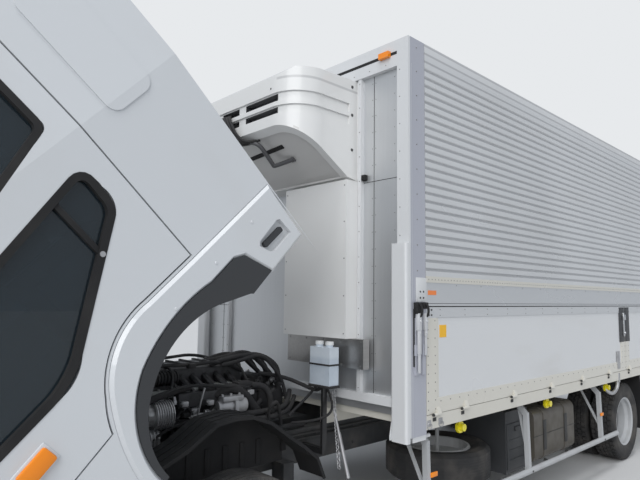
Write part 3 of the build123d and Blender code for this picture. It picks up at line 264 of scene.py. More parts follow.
def plastic_finish(name, colour, roughness):
    finish = Finish(name, colour, roughness)
    finish.bump(finish.noise(300.0, 2.0), 0.08, 0.0005)
    return finish.material


def glass_finish(name, colour):
    """Tinted pane that is dark from outside and lets some light through."""
    finish = Finish(name, colour, 0.03)
    finish.surface.inputs["Transmission Weight"].default_value = 0.85
    finish.surface.inputs["IOR"].default_value = 1.5
    return finish.material


def front_wall_finish(name, paint, steel):
    """White posts and header round brushed stainless panels."""
    finish = Finish(name, paint, 0.38)
    panel = finish.ahead().window(-0.0375, -0.0335, 0.0005) * (1 - finish.height().between(3.352, 3.356))
    streaks = finish.noise(1.0, 4.0, (60.0, 60.0, 1.2), 0.6)
    clouds = finish.noise(1.3, 2.0)
    dust = finish.noise(3.0, 5.0).between(0.5, 0.8) * 0.08
    painted = finish.blend(dust, paint, ROAD_DUST)
    # the post's outer face behind its levers, and the channel along the header, lie in shade; on the post's face that
    # shade is painted darker into its colour
    shaded_flank_face = finish.off_middle().between(1.2440, 1.2446) * finish.ahead().window(-0.181, -0.0195, 0.0005)
    painted = finish.blend(shaded_flank_face, painted, (0.40, 0.41, 0.46))
    brushed = finish.blend(streaks * 0.5, steel, [value * 0.90 for value in steel])
    finish.feed(Base_Color=finish.blend(panel, painted, brushed), Metallic=panel * 0.85)
    finish.feed(Roughness=panel * ((streaks - 0.5) * 0.08 + (clouds - 0.5) * 0.12 + 0.08) + 0.38)
    return finish.material


def cover_finish(name, white, steel):
    """White pipe cover over a brushed steel box."""
    finish = Finish(name, white, 0.32, 0.0, 0.3)
    low = 1 - finish.height().between(1.4845, 1.4855)
    streaks = finish.noise(1.0, 4.0, (1.5, 60.0, 60.0), 0.6)
    soft = finish.noise(2.0, 3.0).between(0.5, 0.8) * 0.06
    painted = finish.blend(soft, white, GREY_DUST)
    brushed = finish.blend(streaks * 0.7, steel, [value * 0.6 for value in steel])
    finish.feed(Base_Color=finish.blend(low, painted, brushed), Metallic=low * 0.9)
    return finish.material


def bottle_finish(name, pale, frame):
    """Milky bottle on a black stand."""
    finish = Finish(name, pale, 0.30, 0.0, 0.2)
    stand = 1 - finish.height().between(1.1640, 1.1652)
    soft = finish.noise(9.0, 3.0).between(0.3, 0.8)
    water = (1 - finish.height().between(1.34, 1.37)) * 0.5
    milky = finish.blend(soft * 0.35 + water, pale, (0.46, 0.53, 0.61))
    finish.feed(Base_Color=finish.blend(stand, milky, frame))
    dents = finish.noise(12.0, 2.0)
    finish.bump(dents, 0.35, 0.012)
    return finish.material


def wing_finish(name, paint, frame, metal):
    """White ribbed skin with painted shade in its grooves and painted bands of light and shade, over a riveted strip
    and a smooth aluminium band.
    """
    finish = Finish(name, paint, 0.30, 0.0, 0.25)
    height = finish.height()
    strip = height.window(1.875, 1.917)
    band = height.window(1.700, 1.875)
    clouds = finish.noise(1.1, 3.0, (0.5, 1.0, 2.0))
    dust = finish.noise(2.2, 5.0, (0.4, 1.0, 3.0)).between(0.5, 0.8) * 0.07
    rib = (height - 1.947) / 0.058
    # painted shade: the grooves between the ribs are darkened to grey as if in shade
    shaded_groove = rib.maths("FRACT", rib).window(0.12, 0.38, 0.05) * height.between(1.93, 1.945)
    # painted light and shade: broad soft bands darken the rib crests in places, for the light and shade across the skin
    shade = finish.noise(0.7, 2.0, (1.0, 1.0, 0.4)).between(0.35, 0.7) * 0.35
    crest = finish.blend(shade, [value * 0.98 for value in paint], [value * 0.72 for value in paint])
    skin = finish.blend(shaded_groove * 0.55, crest, (0.33, 0.33, 0.34))
    skin = finish.blend(dust, skin, PALE_DUST)
    skin = finish.blend(band, skin, metal)
    bead = height.window(1.7325, 1.7365, 0.0008)
    finish.feed(Base_Color=finish.blend(bead, finish.blend(strip, skin, frame), (0.08, 0.08, 0.085)))
    # the roof side of the wing is duller than its flank
    roof = height.between(3.44, 3.50)
    finish.feed(Metallic=(band * 0.45 + shaded_groove * 0.25 + 0.15) * (1 - roof), Coat_Weight=(1 - roof) * 0.25)
    finish.feed(Roughness=(clouds - 0.5) * 0.16 + 0.27 + roof * 0.45)
    return finish.material


def gate_finish(name, paint, frame, metal, near, far):
    """White panel in a cream frame, with an aluminium top rail."""
    finish = Finish(name, paint, 0.26, 0.0, 0.3)
    height = finish.height()
    ahead = finish.ahead()
    rail = height.between(1.637, 1.639)
    ends = ahead.between(near - 0.001, near + 0.001) + (1 - ahead.between(far - 0.001, far + 0.001))
    edge = ends.maths("MAXIMUM", ends, 1 - height.between(1.109, 1.111), clamp=True)
    dust = finish.noise(2.6, 5.0, (0.5, 1.0, 2.0)).between(0.5, 0.8) * (1.9 - height) * 0.25
    panel = finish.blend(dust, paint, PALE_DUST)
    colour = finish.blend(rail, finish.blend(edge, panel, frame), metal)
    finish.feed(Base_Color=colour, Metallic=rail * 0.45)
    finish.feed(Roughness=(finish.noise(1.5, 3.0) - 0.5) * 0.14 + 0.30)
    return finish.material


def lamp_finish(name, amber, yellow):
    """Amber lenses along the header, yellow ones along the sills."""
    finish = Finish(name, amber, 0.22, 0.0, 0.5)
    high = finish.height().between(2.9, 3.0)
    stem = 1 - finish.off_middle().between(1.137, 1.139)
    lens = finish.blend(high, finish.blend(stem, yellow, (0.03, 0.03, 0.03)), amber)
    finish.feed(Base_Color=lens)
    return finish.material


def spare_finish(name, rubber, rim):
    """Rubber outside the rim, silver paint inside it."""
    finish = Finish(name, rubber, 0.8)
    reach = finish.ahead() + 1.066
    side = finish.along("Y") - 0.710
    inside = 1 - ((reach * reach + side * side) ** 0.5).between(0.263, 0.265)
    dust = finish.noise(5.0, 5.0).between(0.4, 0.8) * 0.35
    colour = finish.blend(inside, rubber, rim)
    finish.feed(Base_Color=finish.blend(dust, colour, (0.17, 0.15, 0.13)), Roughness=0.8 - inside * 0.3)
    rings = finish.height() * 300.0
    finish.bump(rings.maths("SINE", rings) * (1 - inside), 0.25, 0.002)
    return finish.material


def engine_finish(name, iron, alloy):
    """Dark castings with bare alloy units on the left side."""
    finish = Finish(name, iron, 0.5, 0.3)
    ahead, side, height = finish.ahead(), finish.along("Y"), finish.height()
    high_unit = ahead.window(1.175, 1.345) * side.between(0.290, 0.292) * height.between(0.975, 0.985)
    low_unit = ahead.window(1.255, 1.425) * side.between(0.290, 0.292) * height.window(0.850, 0.998)
    cover = height.between(1.285, 1.29) * 0.12
    bare = (high_unit + low_unit).maths("MAXIMUM", high_unit + low_unit, cover, clamp=True)
    grime = finish.noise(14.0, 6.0).between(0.35, 0.75)
    colour = finish.blend(bare, iron, alloy)
    finish.feed(Base_Color=finish.blend(grime * 0.55, colour, (0.02, 0.019, 0.018)), Metallic=bare * 0.5 + 0.25)
    finish.feed(Roughness=grime * 0.25 + 0.38)
    finish.bump(finish.noise(70.0, 6.0), 0.3, 0.002)
    return finish.material


def unit_finish(name, white, grey):
    """White housing, dark air slots and a grey panel let into the underside."""
    finish = Finish(name, white, 0.33, 0.0, 0.3)
    ahead, side, height = finish.ahead(), finish.off_middle(), finish.height()
    slots = height.window(3.021, 3.065) + height.window(3.109, 3.159)
    slots = slots * (1 - ahead.between(0.562, 0.564)) * ahead.between(0.50, 0.505) * (1 - side.between(0.562, 0.564))
    slope = (ahead - 0.08) * (0.311 / 0.5) + 2.624
    below = (height - slope).window(0.004, 0.02) * ahead.window(0.078, 0.523) * (1 - side.between(0.706, 0.708))
    soft = finish.noise(3.0, 4.0).between(0.5, 0.8) * 0.07
    colour = finish.blend(soft, white, GREY_DUST)
    # painted shade: a soft darker line near the top of the housing's sides and corners
    shaded_crown = height.window(3.255, 3.272, 0.005) * side.between(0.55, 0.57)
    colour = finish.blend(shaded_crown * 0.45, colour, (0.30, 0.30, 0.31))
    colour = finish.blend(below, colour, grey)
    finish.feed(Base_Color=finish.blend(slots, colour, (0.06, 0.06, 0.065)))
    return finish.material


def tyre_finish(name, colour, axle_x):
    """Black rubber with fine blocks round the tread and dust in its grooves."""
    finish = Finish(name, colour, 0.8)
    reach, turn = finish.round_axle(axle_x, AXLE_HEIGHT)
    tread = reach.between(0.398, 0.402)
    teeth = (turn * 96.0).maths("FRACT", turn * 96.0).window(0.06, 0.44, 0.05)
    dust = finish.noise(6.0, 5.0).between(0.35, 0.8) * 0.4 + (1 - reach.between(0.30, 0.38)) * 0.08
    finish.feed(Base_Color=finish.blend(dust, colour, (0.15, 0.135, 0.12)))
    rings = reach * 420.0
    finish.bump(teeth * tread + rings.maths("SINE", rings) * (1 - tread) * 0.12, 0.5, 0.006)
    return finish.material


def fabric_finish(name, colour):
    finish = Finish(name, colour, 0.9)
    finish.bump(finish.noise(400.0, 2.0), 0.3, 0.001)
    return finish.material


class TruckColours(bpy.types.PropertyGroup):
    """Colours that a user would change."""

    cab: bpy.props.FloatVectorProperty(
        name="Cab", description="Paint of the cab", subtype="COLOR", size=3, default=(0.62, 0.64, 0.66)
    )
    box: bpy.props.FloatVectorProperty(
        name="Load box", description="Paint of the wings and drop sides", subtype="COLOR", size=3, default=(
            0.63, 0.64, 0.65
        )
    )
    sill: bpy.props.FloatVectorProperty(
        name="Sills", description="Paint of the sills and gate frames", subtype="COLOR", size=3, default=(
            0.62, 0.60, 0.54
        )
    )
    steel: bpy.props.FloatVectorProperty(
        name="Stainless steel", description="Posts and front wall", subtype="COLOR", size=3, default=(0.66, 0.67, 0.68)
    )
    frame: bpy.props.FloatVectorProperty(
        name="Chassis", description="Paint of the frame and axles", subtype="COLOR", size=3, default=(
            0.025, 0.026, 0.028
        )
    )
    rim: bpy.props.FloatVectorProperty(
        name="Rims", description="Paint of the wheels", subtype="COLOR", size=3, default=(0.42, 0.43, 0.44)
    )
    amber: bpy.props.FloatVectorProperty(
        name="Amber lamps", description="Lenses of the side lamps", subtype="COLOR", size=3, default=(0.90, 0.26, 0.01)
    )


class TruckSizes(bpy.types.PropertyGroup):
    """Sizes that a user would change."""

    tread_depth: bpy.props.FloatProperty(
        name="Tread depth", description="Depth of the tyres' grooves", unit="LENGTH", default=0.012
    )
    floor_half: bpy.props.FloatProperty(
        name="Floor", description="Half the width of the stage's floor", unit="LENGTH", default=60.0
    )


def colours():
    return bpy.context.scene.truck_colours


def sizes():
    return bpy.context.scene.truck_sizes


def place(x, y, z):
    """A place measured ahead of the load box's front face."""
    return Vector((BOX_FRONT + x, y, z))


@contextmanager
def new_piece(name, finish, body, tilted=False, replaced=None):
    """Lend a bmesh to build in, then make it one object with its finish that rides on a body."""
    shape = bmesh.new()
    yield shape
    if tilted:
        bmesh.ops.transform(shape, matrix=CAB_MATRIX, verts=shape.verts)
    bmesh.ops.recalc_face_normals(shape, faces=shape.faces)
    mesh = bpy.data.meshes.new(name)
    shape.to_mesh(mesh)
    shape.free()
    mesh.polygons.foreach_set("use_smooth", [True] * len(mesh.polygons))
    mesh.set_sharp_from_angle(angle=SHARP_ANGLE)
    piece = bpy.data.objects.new(name, mesh)
    bpy.context.scene.collection.objects.link(piece)
    mesh.materials.append(EXTRA_FINISHES.get(finish) or SLOT_FINISHES[finish])
    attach(piece, body)
    if replaced:
        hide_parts(replaced)


def add_box(shape, low, high, edge=0.0):
    """A box between two corners, with its edges rounded where asked."""
    low, high = place(*low), place(*high)
    matrix = Matrix.Translation((low + high) / 2) @ Matrix.Diagonal((*(high - low), 1.0))
    corners = bmesh.ops.create_cube(shape, size=1.0, matrix=matrix)["verts"]
    if edge:
        edges = list(lines_of(corners))
        bmesh.ops.bevel(
            shape, geom=edges, offset=edge, affect="EDGES", segments=2, profile=0.5, material=-1, clamp_overlap=True
        )


def add_slab(shape, side, low, high, edge=0.0):
    """A box on one side of the truck, its places across given as on the left."""
    near, far = sorted((side * low[1], side * high[1]))
    add_box(shape, (low[0], near, low[2]), (high[0], far, high[2]), edge)


def add_drum(shape, start, end, radius, far_radius=None, sides=16):
    """A round bar or cone from one place to another."""
    start, end = place(*start), place(*end)
    along = end - start
    turn = along.to_track_quat("Z", "Y").to_matrix().to_4x4()
    bmesh.ops.create_cone(
        shape,
        cap_ends=True,
        segments=sides,
        radius1=radius,
        radius2=radius if far_radius is None else far_radius,
        depth=along.length,
        matrix=Matrix.Translation((start + end) / 2) @ turn,
    )


def add_turned(shape, profile, centre, axis, steps=48):
    """Turn a closed profile, as pairs of radius and place along the axis, about that axis."""
    axis = Vector(axis)
    outward = Vector(UP if abs(axis.z) < 0.5 else AHEAD)
    centre = place(*centre)
    corners = [shape.verts.new(centre + outward * radius + axis * shift) for radius, shift in profile]
    edges = [shape.edges.new(pair) for pair in zip(corners, corners[1:] + corners[:1])]
    bmesh.ops.spin(
        shape, geom=corners + edges, cent=centre, axis=axis, angle=2 * math.pi, steps=steps, use_merge=True
    )


def add_hose(shape, points, radius, sides=2):
    """A smooth hose through the pull of its points, with closed ends."""
    curve = bpy.data.curves.new("hose", "CURVE")
    curve.dimensions = "3D"
    curve.bevel_depth = radius
    curve.bevel_resolution = sides
    line = curve.splines.new("NURBS")
    line.points.add(len(points) - 1)
    for point, spot in zip(line.points, points):
        point.co = (*place(*spot), 1.0)
    line.order_u = 3
    line.use_endpoint_u = True
    line.resolution_u = 6
    former = bpy.data.objects.new("hose", curve)
    bpy.context.scene.collection.objects.link(former)
    mesh = bpy.data.meshes.new_from_object(former)
    bpy.data.objects.remove(former)
    bpy.data.curves.remove(curve)
    tube = bmesh.new()
    tube.from_mesh(mesh)
    bmesh.ops.holes_fill(tube, edges=[edge for edge in tube.edges if edge.is_boundary])
    tube.to_mesh(mesh)
    tube.free()
    shape.from_mesh(mesh)
    bpy.data.meshes.remove(mesh)


def add_hoses(shape, rows):
    """Hoses from rows of radius, steps round a quarter, and points."""
    for radius, sides, *points in rows:
        add_hose(shape, points, radius, sides)


def add_ring(shape, inner, outer, start, end, centre, axis, steps):
    """A plain ring or disc about an axis, from start to end along it."""
    add_turned(shape, ((inner, start), (outer, start), (outer, end), (inner, end)), centre, axis, steps)


def round_bar(reach, radius, turns):
    """Profile of a round bar bent into a ring, for the turns given."""
    return [(reach + radius * math.cos(turn), radius * math.sin(turn)) for turn in turns]


def thicken(shape, faces, shift):
    """Give a sheet of faces its thickness."""
    grown = bmesh.ops.extrude_face_region(shape, geom=faces, use_keep_orig=True)["geom"]
    bmesh.ops.translate(shape, verts=corners_of(grown), vec=shift)


def corners_of(geometry):
    """The vertices among what an operator returns."""
    return [item for item in geometry if isinstance(item, bmesh.types.BMVert)]


def lines_of(corners):
    """Every edge that meets one of the corners."""
    return {edge for corner in corners for edge in corner.link_edges}


def faces_of(corners):
    """Every face that meets one of the corners."""
    return {face for corner in corners for face in corner.link_faces}


def add_rivets(shape, spots, out, radius=0.005, height=0.0025, sides=6):
    """Low domed heads at the spots, standing out along one direction."""
    out = Vector(out)
    for spot in spots:
        end = Vector(spot) + out * height
        add_drum(shape, Vector(spot) - out * 0.001, end, radius, radius * 0.6, sides)


def steps_between(low, high, pitch):
    """Evenly spaced places from one end to the other."""
    count = max(1, round((high - low) / pitch))
    return [low + (high - low) * step / count for step in range(count + 1)]


def flank(z):
    """How far out the shut cab's flank lies at a height."""
    return 1.155 - 0.085 * max(0.0, z - 2.0) / 0.64


def add_band(shape, corners, side, out, width, depth):
    """A flat band inside a rounded outline on the cab's flank, from corners given as X, Z and reach of the round."""
    marks = [shape.verts.new(place(x, side * (flank(z) + out), z)) for x, z, reach in corners]
    shape.faces.new(marks)
    for mark, (x, z, reach) in zip(marks, corners):
        bmesh.ops.bevel(
            shape, geom=[mark], offset=reach, offset_type="OFFSET", affect="VERTICES", segments=5, profile=0.5,
            material=-1,
        )
    shape.faces.ensure_lookup_table()
    inner = shape.faces[-1]
    ring = bmesh.ops.inset_region(
        shape, faces=[inner], thickness=width, use_even_offset=True, use_boundary=True
    )["faces"]
    bmesh.ops.delete(shape, geom=[inner], context="FACES_ONLY")
    thicken(shape, ring, (0, -side * depth, 0))


SLOT_FINISHES = {}
EXTRA_FINISHES = {}


class TRUCK_OT_paint_solids(bpy.types.Operator):
    """Give every solid of the frame its finish"""

    bl_idname = "truck.paint_solids"
    bl_label = "Paint the solids"

    def execute(self, context):
        tint = colours()
        SLOT_FINISHES.update(
            cab_paint=paint_finish("cab_paint", tint.cab, 0.30, 0.6),
            box_paint=paint_finish("box_paint", tint.box, 0.38, 0.2),
            sill_paint=paint_finish("sill_paint", tint.sill, 0.45, 0.1),
            stainless=panel_finish("stainless", tint.steel, 0.34),
            chassis_paint=chassis_finish("chassis_paint", tint.frame, 0.45, 0.35),
            engine_metal=casting_finish("engine_metal", (0.09, 0.09, 0.095), 0.3),
            silver_paint=chassis_finish("silver_paint", tint.rim, 0.40, 0.18, (0.22, 0.20, 0.18)),
            tyre_rubber=rubber_finish("tyre_rubber", TYRE_BLACK),
            dark_plastic=plastic_finish("dark_plastic", (0.035, 0.037, 0.040), 0.5),
            pale_plastic=plastic_finish("pale_plastic", (0.72, 0.73, 0.73), 0.35),
            amber_plastic=plastic_finish("amber_plastic", tint.amber, 0.25),
            clear_glass=glass_finish("clear_glass", (0.085, 0.125, 0.155)),
            seat_fabric=fabric_finish("seat_fabric", (0.06, 0.065, 0.08)),
            # painted shade: the tank's grey-brown is darkened further for the shade it lies in
            tank_paint=chassis_finish("tank_paint", (0.085, 0.076, 0.062), 0.40, 0.4),
        )
        EXTRA_FINISHES.update(
            front_tread=tyre_finish("front_tread", TYRE_BLACK, FRONT_AXLE),
            rear_tread=tyre_finish("rear_tread", TYRE_BLACK, REAR_AXLE),
            seal=rubber_finish("seal", (0.010, 0.010, 0.011), 0.12),
            bolt=casting_finish("bolt", (0.32, 0.32, 0.32), 0.8),
            rivet=paint_finish("rivet", (0.20, 0.20, 0.19), 0.35, 0.2),
            dark_bolt=casting_finish("dark_bolt", (0.07, 0.07, 0.07), 0.6),
            bright_metal=casting_finish("bright_metal", (0.50, 0.50, 0.51), 0.85),
            lock_silver=panel_finish("lock_silver", (0.55, 0.56, 0.57), 0.30),
            lever_white=paint_finish("lever_white", (0.55, 0.56, 0.58), 0.32, 0.2),
            hose=rubber_finish("hose", (0.020, 0.020, 0.022)),
            grey_pipe=plastic_finish("grey_pipe", (0.10, 0.10, 0.105), 0.40),
            head_grey=casting_finish("head_grey", (0.26, 0.27, 0.26), 0.6),
            orange_label=plastic_finish("orange_label", (0.80, 0.22, 0.05), 0.4),
            yellow_label=plastic_finish("yellow_label", (0.84, 0.46, 0.02), 0.4),
            red_lens=plastic_finish("red_lens", (0.55, 0.015, 0.01), 0.15),
            white_lens=plastic_finish("white_lens", (0.75, 0.76, 0.77), 0.12),
            mirror_face=panel_finish("mirror_face", (0.75, 0.77, 0.79), 0.06),
        )
        special = dict(
            front_wall=front_wall_finish("front_wall", tint.box, tint.steel),
            marker_lamps=lamp_finish("marker_lenses", tint.amber, (0.86, 0.74, 0.02)),
            roof_beam=paint_finish("roof_beam", tint.sill, 0.75, 0.0),
            spare_wheel=spare_finish("spare_wheel", TYRE_BLACK, tint.rim),
            engine=engine_finish("engine", (0.045, 0.045, 0.048), (0.50, 0.50, 0.50)),
            cold_unit=unit_finish("cold_unit", UNIT_WHITE, (0.60, 0.59, 0.575)),
            pipe_cover=cover_finish("pipe_cover", UNIT_WHITE, (0.42, 0.41, 0.40)),
            washer_bottle=bottle_finish("washer_bottle", (0.66, 0.72, 0.78), (0.02, 0.02, 0.021)),
            mudguards=rubber_finish("mudguard_black", (0.008, 0.008, 0.009), 0.10),
        )
        wing = wing_finish("wing", tint.box, tint.sill, ALUMINIUM)
        front_gate = gate_finish("front_gate", tint.box, tint.sill, ALUMINIUM, -0.330, -3.800)
        rear_gate = gate_finish("rear_gate", tint.box, tint.sill, ALUMINIUM, -4.060, -6.430)
        for name in dict(SIDES):
            special[f"wing_{name}"] = wing
            special[f"front_gate_{name}"] = front_gate
            special[f"rear_gate_{name}"] = rear_gate
        for subpart in FRAME["record"]["subparts"]:
            solid = NODES[subpart["node"]]
            solid.data.materials.clear()
            solid.data.materials.append(special.get(subpart["node"], SLOT_FINISHES[subpart["material_slot"]]))
        return {"FINISHED"}


class TRUCK_OT_tyres(bpy.types.Operator):
    """Put treaded tyres on all six wheel places"""

    bl_idname = "truck.tyres"
    bl_label = "Tyres"

    # columns: distance from the axle, place across the tyre's half width
    wall = ((0.402, 0.1085), (0.388, 0.1175), (0.366, 0.1215), (0.360, 0.1240), (0.350, 0.1240), (0.344, 0.1215),
            (0.318, 0.1235), (0.296, 0.1190), (0.276, 0.1120), (0.263, 0.1080), (0.249, 0.0955))
    ribs = ((0.016, 0.025), (0.058, 0.067))
    tread_half = 0.103
    block_count = 46

    def profile(self, blocks):
        """Outline of a tyre's section, with its tread left to blocks or cut as ribs."""
        depth = sizes().tread_depth
        outer, shoulder = AXLE_HEIGHT, 0.417
        if blocks:
            half = [(outer - depth, 0.0), (shoulder - depth, self.tread_half - 0.004)]
        else:
            half = [(outer, 0.0)]
            for near, far in self.ribs:
                half += [(outer, near), (outer - depth, near + 0.001), (outer - depth, far - 0.001), (0.4195, far)]
            half.append((shoulder, self.tread_half))
        half += self.wall
        return half + [(reach, -across) for reach, across in reversed(half[1:])]

    def add_blocks(self, shape, centre):
        """Three kinds of tread blocks round a tyre."""
        depth = sizes().tread_depth
        # columns: middle of the row across the tyre, width of its blocks, outer distance from the axle, turn
        rows = ((0.0, 0.034, 0.420, 0.0), (0.041, 0.036, 0.4195, 0.5), (0.084, 0.038, 0.418, 0.0))
        for middle, width, outer, turn in rows:
            for side in (1, -1) if middle else (1,):
                for block in range(self.block_count):
                    angle = 2 * math.pi * (block + turn * side) / self.block_count
                    length = 2 * math.pi * outer / self.block_count * (0.86 if middle < 0.05 else 0.74)
                    matrix = (
                        Matrix.Translation(place(*centre))
                        @ Matrix.Rotation(angle, 4, "Y")
                        @ Matrix.Translation((0, side * middle, outer - depth / 2 - 0.001))
                        @ Matrix.Diagonal((length, width, depth + 0.002, 1.0))
                    )
                    bmesh.ops.create_cube(shape, size=1.0, matrix=matrix)

    def execute(self, context):
        for name, side in SIDES:
            centre = (FRONT_AXLE, side * FRONT_TRACK, AXLE_HEIGHT)
            with new_piece(
                f"tyre_front_{name}", "front_tread", f"front_wheel_{name}", replaced=f"front_tyre_{name}"
            ) as shape:
                add_turned(shape, self.profile(False), centre, ACROSS, 64)

            with new_piece(
                f"tyres_rear_{name}", "rear_tread", f"rear_wheel_{name}", replaced=f"rear_tyres_{name}"
            ) as shape:
                for track in (OUTER_TRACK, INNER_TRACK):
                    middle = (REAR_AXLE, side * track, AXLE_HEIGHT)
                    add_turned(shape, self.profile(True), middle, ACROSS, 64)
                    self.add_blocks(shape, middle)
        return {"FINISHED"}


class TRUCK_OT_rims(bpy.types.Operator):
    """Put discs with hand holes, nuts and hubs on the wheels"""

    bl_idname = "truck.rims"
    bl_label = "Rims"

    barrel = ((0.262, 0.108), (0.262, 0.1005), (0.2475, 0.0965), (0.2475, 0.070), (0.225, 0.040), (0.225, -0.040),
              (0.2475, -0.070), (0.2475, -0.0965), (0.262, -0.1005), (0.262, -0.108), (0.252, -0.107),
              (0.240, -0.098), (0.240, -0.066), (0.217, -0.036), (0.217, 0.036), (0.240, 0.066), (0.240, 0.098),
              (0.252, 0.107))

    half_sector = math.radians(22.5)
    disc_depth = 0.012
    nut_count = 8
    # columns: start and end outwards of the disc, radius at both, sides
    nut_steps = (
        (-0.004, 0.004, 0.02295, 0.02295, 16),
        (0.0, 0.022, 0.017, 0.017, 6),
        (0.02, 0.032, 0.00935, 0.0085, 8),
    )

    def add_disc(self, shape, centre, side, inner, outer, face, dish, hole):
        """A dished disc with eight round holes, made from one sector that is turned round the axle."""
        middle = (inner + outer) / 2
        half = (outer - inner) / 2
        base = place(*centre)
        stand = Matrix.Translation(base + Vector((0, 0, middle))) @ Matrix.Rotation(math.radians(90), 4, "X")
        rim = bmesh.ops.create_circle(shape, segments=16, radius=hole, matrix=stand)["verts"]
        grown = bmesh.ops.extrude_edge_only(shape, edges=list(lines_of(rim)))["geom"]
        border = corners_of(grown)
        for corner in border:
            offset = corner.co - base - Vector((0, 0, middle))
            reach = max(abs(offset.x), abs(offset.z))
            angle = offset.x / reach * self.half_sector
            radius = middle + offset.z / reach * half
            corner.co = base + Vector((math.sin(angle) * radius, 0, math.cos(angle) * radius))
        sector = rim + border + list(lines_of(rim + border)) + list(faces_of(border))
        for copy in range(1, 8):
            twin = bmesh.ops.duplicate(shape, geom=list(dict.fromkeys(sector)))["geom"]
            turn = Matrix.Rotation(math.radians(45 * copy), 3, "Y")
            bmesh.ops.rotate(shape, cent=base, matrix=turn, verts=corners_of(twin))
        disc = [corner for corner in shape.verts if abs(corner.co.y - base.y) < 1e-5]
        bmesh.ops.remove_doubles(shape, verts=disc, dist=1e-4)
        disc = [corner for corner in shape.verts if abs(corner.co.y - base.y) < 1e-5]
        for corner in disc:
            radius = math.hypot(corner.co.x - base.x, corner.co.z - base.z)
            corner.co.y = base.y + side * (face + dish * ((radius - inner) / (outer - inner)) ** 2)
        sheet = list(faces_of(disc))
        bmesh.ops.recalc_face_normals(shape, faces=sheet)
        thicken(shape, sheet, (0, -side * self.disc_depth, 0))

    def add_nuts(self, shape, centre, side, radius, face):
        x, y, z = centre
        for nut in range(self.nut_count):
            angle = 2 * math.pi * (nut + 0.5) / self.nut_count
            ahead, height = x + radius * math.sin(angle), z + radius * math.cos(angle)
            for start, end, near, far, sides in self.nut_steps:
                low, high = (ahead, y + side * (face + start), height), (ahead, y + side * (face + end), height)
                add_drum(shape, low, high, near, far, sides)

    def add_hub(self, shape, centre, side, rings):
        """Stepped hub from pairs of radius and place outwards."""
        x, y, z = centre
        for (near, start), (far, end) in zip(rings, rings[1:]):
            add_drum(shape, (x, y + side * start, z), (x, y + side * end, z), near, far, 24)

    def execute(self, context):
        for name, side in SIDES:
            front = (FRONT_AXLE, side * FRONT_TRACK, AXLE_HEIGHT)
            outer = (REAR_AXLE, side * OUTER_TRACK, AXLE_HEIGHT)
            inner = (REAR_AXLE, side * INNER_TRACK, AXLE_HEIGHT)

            with new_piece(
                f"rim_front_{name}", "silver_paint", f"front_wheel_{name}", replaced=f"front_rim_{name}"
            ) as shape:
                self.add_disc(shape, front, side, 0.145, 0.2235, 0.052, -0.016, 0.026)
                add_turned(shape, self.barrel, front, ACROSS, 48)
                self.add_hub(shape, front, side, ((0.150, 0.030), (0.150, 0.053), (0.118, 0.062)))
                self.add_hub(
                    shape, front, side,
                    ((0.092, 0.055), (0.086, 0.092), (0.070, 0.108), (0.066, 0.118), (0.040, 0.121)),
                )
                self.add_nuts(shape, front, side, 0.120, 0.060)
                self.add_hub(shape, front, side, ((0.115, -0.020), (0.115, 0.040)))
                self.add_hub(shape, front, side, ((0.188, -0.070), (0.188, -0.022), (0.120, -0.018)))

            with new_piece(
                f"rims_rear_{name}", "silver_paint", f"rear_wheel_{name}", replaced=f"rear_rims_{name}"
            ) as shape:
                self.add_disc(shape, outer, side, 0.125, 0.2235, -0.126, 0.042, 0.024)
                add_turned(shape, self.barrel, outer, ACROSS, 48)
                self.add_hub(shape, outer, side, ((0.150, -0.140), (0.150, -0.126), (0.128, -0.122)))
                self.add_hub(
                    shape, outer, side,
                    ((0.112, -0.126), (0.106, -0.050), (0.090, -0.036), (0.084, -0.004), (0.070, 0.003),
                     (0.030, 0.004)),
                )
                self.add_nuts(shape, outer, side, 0.133, -0.123)
                self.add_hub(shape, outer, side, ((0.128, -0.200), (0.128, -0.140)))
                add_turned(shape, self.barrel, inner, ACROSS, 48)
                self.add_disc(shape, inner, -side, 0.135, 0.2235, -0.139, 0.050, 0.024)
        return {"FINISHED"}


class TRUCK_OT_window_seals(bpy.types.Operator):
    """Fit rubber seals, the divider and the side lamp to the cab doors"""

    bl_idname = "truck.window_seals"
    bl_label = "Door seals and lamps"

    # columns: X and Z of the corner on the shut cab, reach of its round
    upper = ((0.925, 2.420, 0.022), (0.926, 2.069, 0.045), (2.069, 1.747, 0.040), (1.905, 2.420, 0.040))
    lower = (
        (0.918, 1.885, 0.085), (2.010, 1.7225, 0.048), (2.010, 1.2715, 0.050), (1.555, 1.257, 0.110),
        (0.930, 1.655, 0.050),
    )

    def execute(self, context):
        for name, side in SIDES:
            door = f"cab_door_{name}"

            with new_piece(f"window_seal_{name}", "seal", door, tilted=True) as shape:
                add_band(shape, self.upper, side, 0.0025, 0.030, 0.030)
                add_band(shape, self.lower, side, 0.0025, 0.034, 0.030)

            with new_piece(f"window_divider_{name}", "seal", door, tilted=True) as shape:
                add_slab(shape, side, (1.105, flank(1.6) - 0.026, 1.530), (1.130, flank(1.6) - 0.002, 1.842), 0.004)

            with new_piece(f"window_knob_{name}", "bright_metal", door, tilted=True) as shape:
                y = flank(1.6)
                add_drum(
                    shape, (1.117, side * (y - 0.004), 1.555), (1.117, side * (y + 0.006), 1.555), 0.014, 0.012, 16
                )

            with new_piece(f"door_handle_{name}", "dark_plastic", door, tilted=True) as shape:
                y = flank(1.2)
                add_slab(shape, side, (1.900, y - 0.012, 1.020), (2.080, y + 0.004, 1.085), 0.005)
                add_slab(shape, side, (1.912, y + 0.002, 1.046), (2.068, y + 0.016, 1.072), 0.005)

            with new_piece(f"side_lamp_base_{name}", "cab_paint", door, tilted=True) as shape:
                add_slab(shape, side, (1.776, 1.150, 1.106), (1.936, 1.162, 1.196), 0.005)

            with new_piece(f"side_lamp_{name}", "amber_plastic", door, tilted=True) as shape:
                add_slab(shape, side, (1.786, 1.158, 1.114), (1.926, 1.180, 1.188), 0.010)
        return {"FINISHED"}


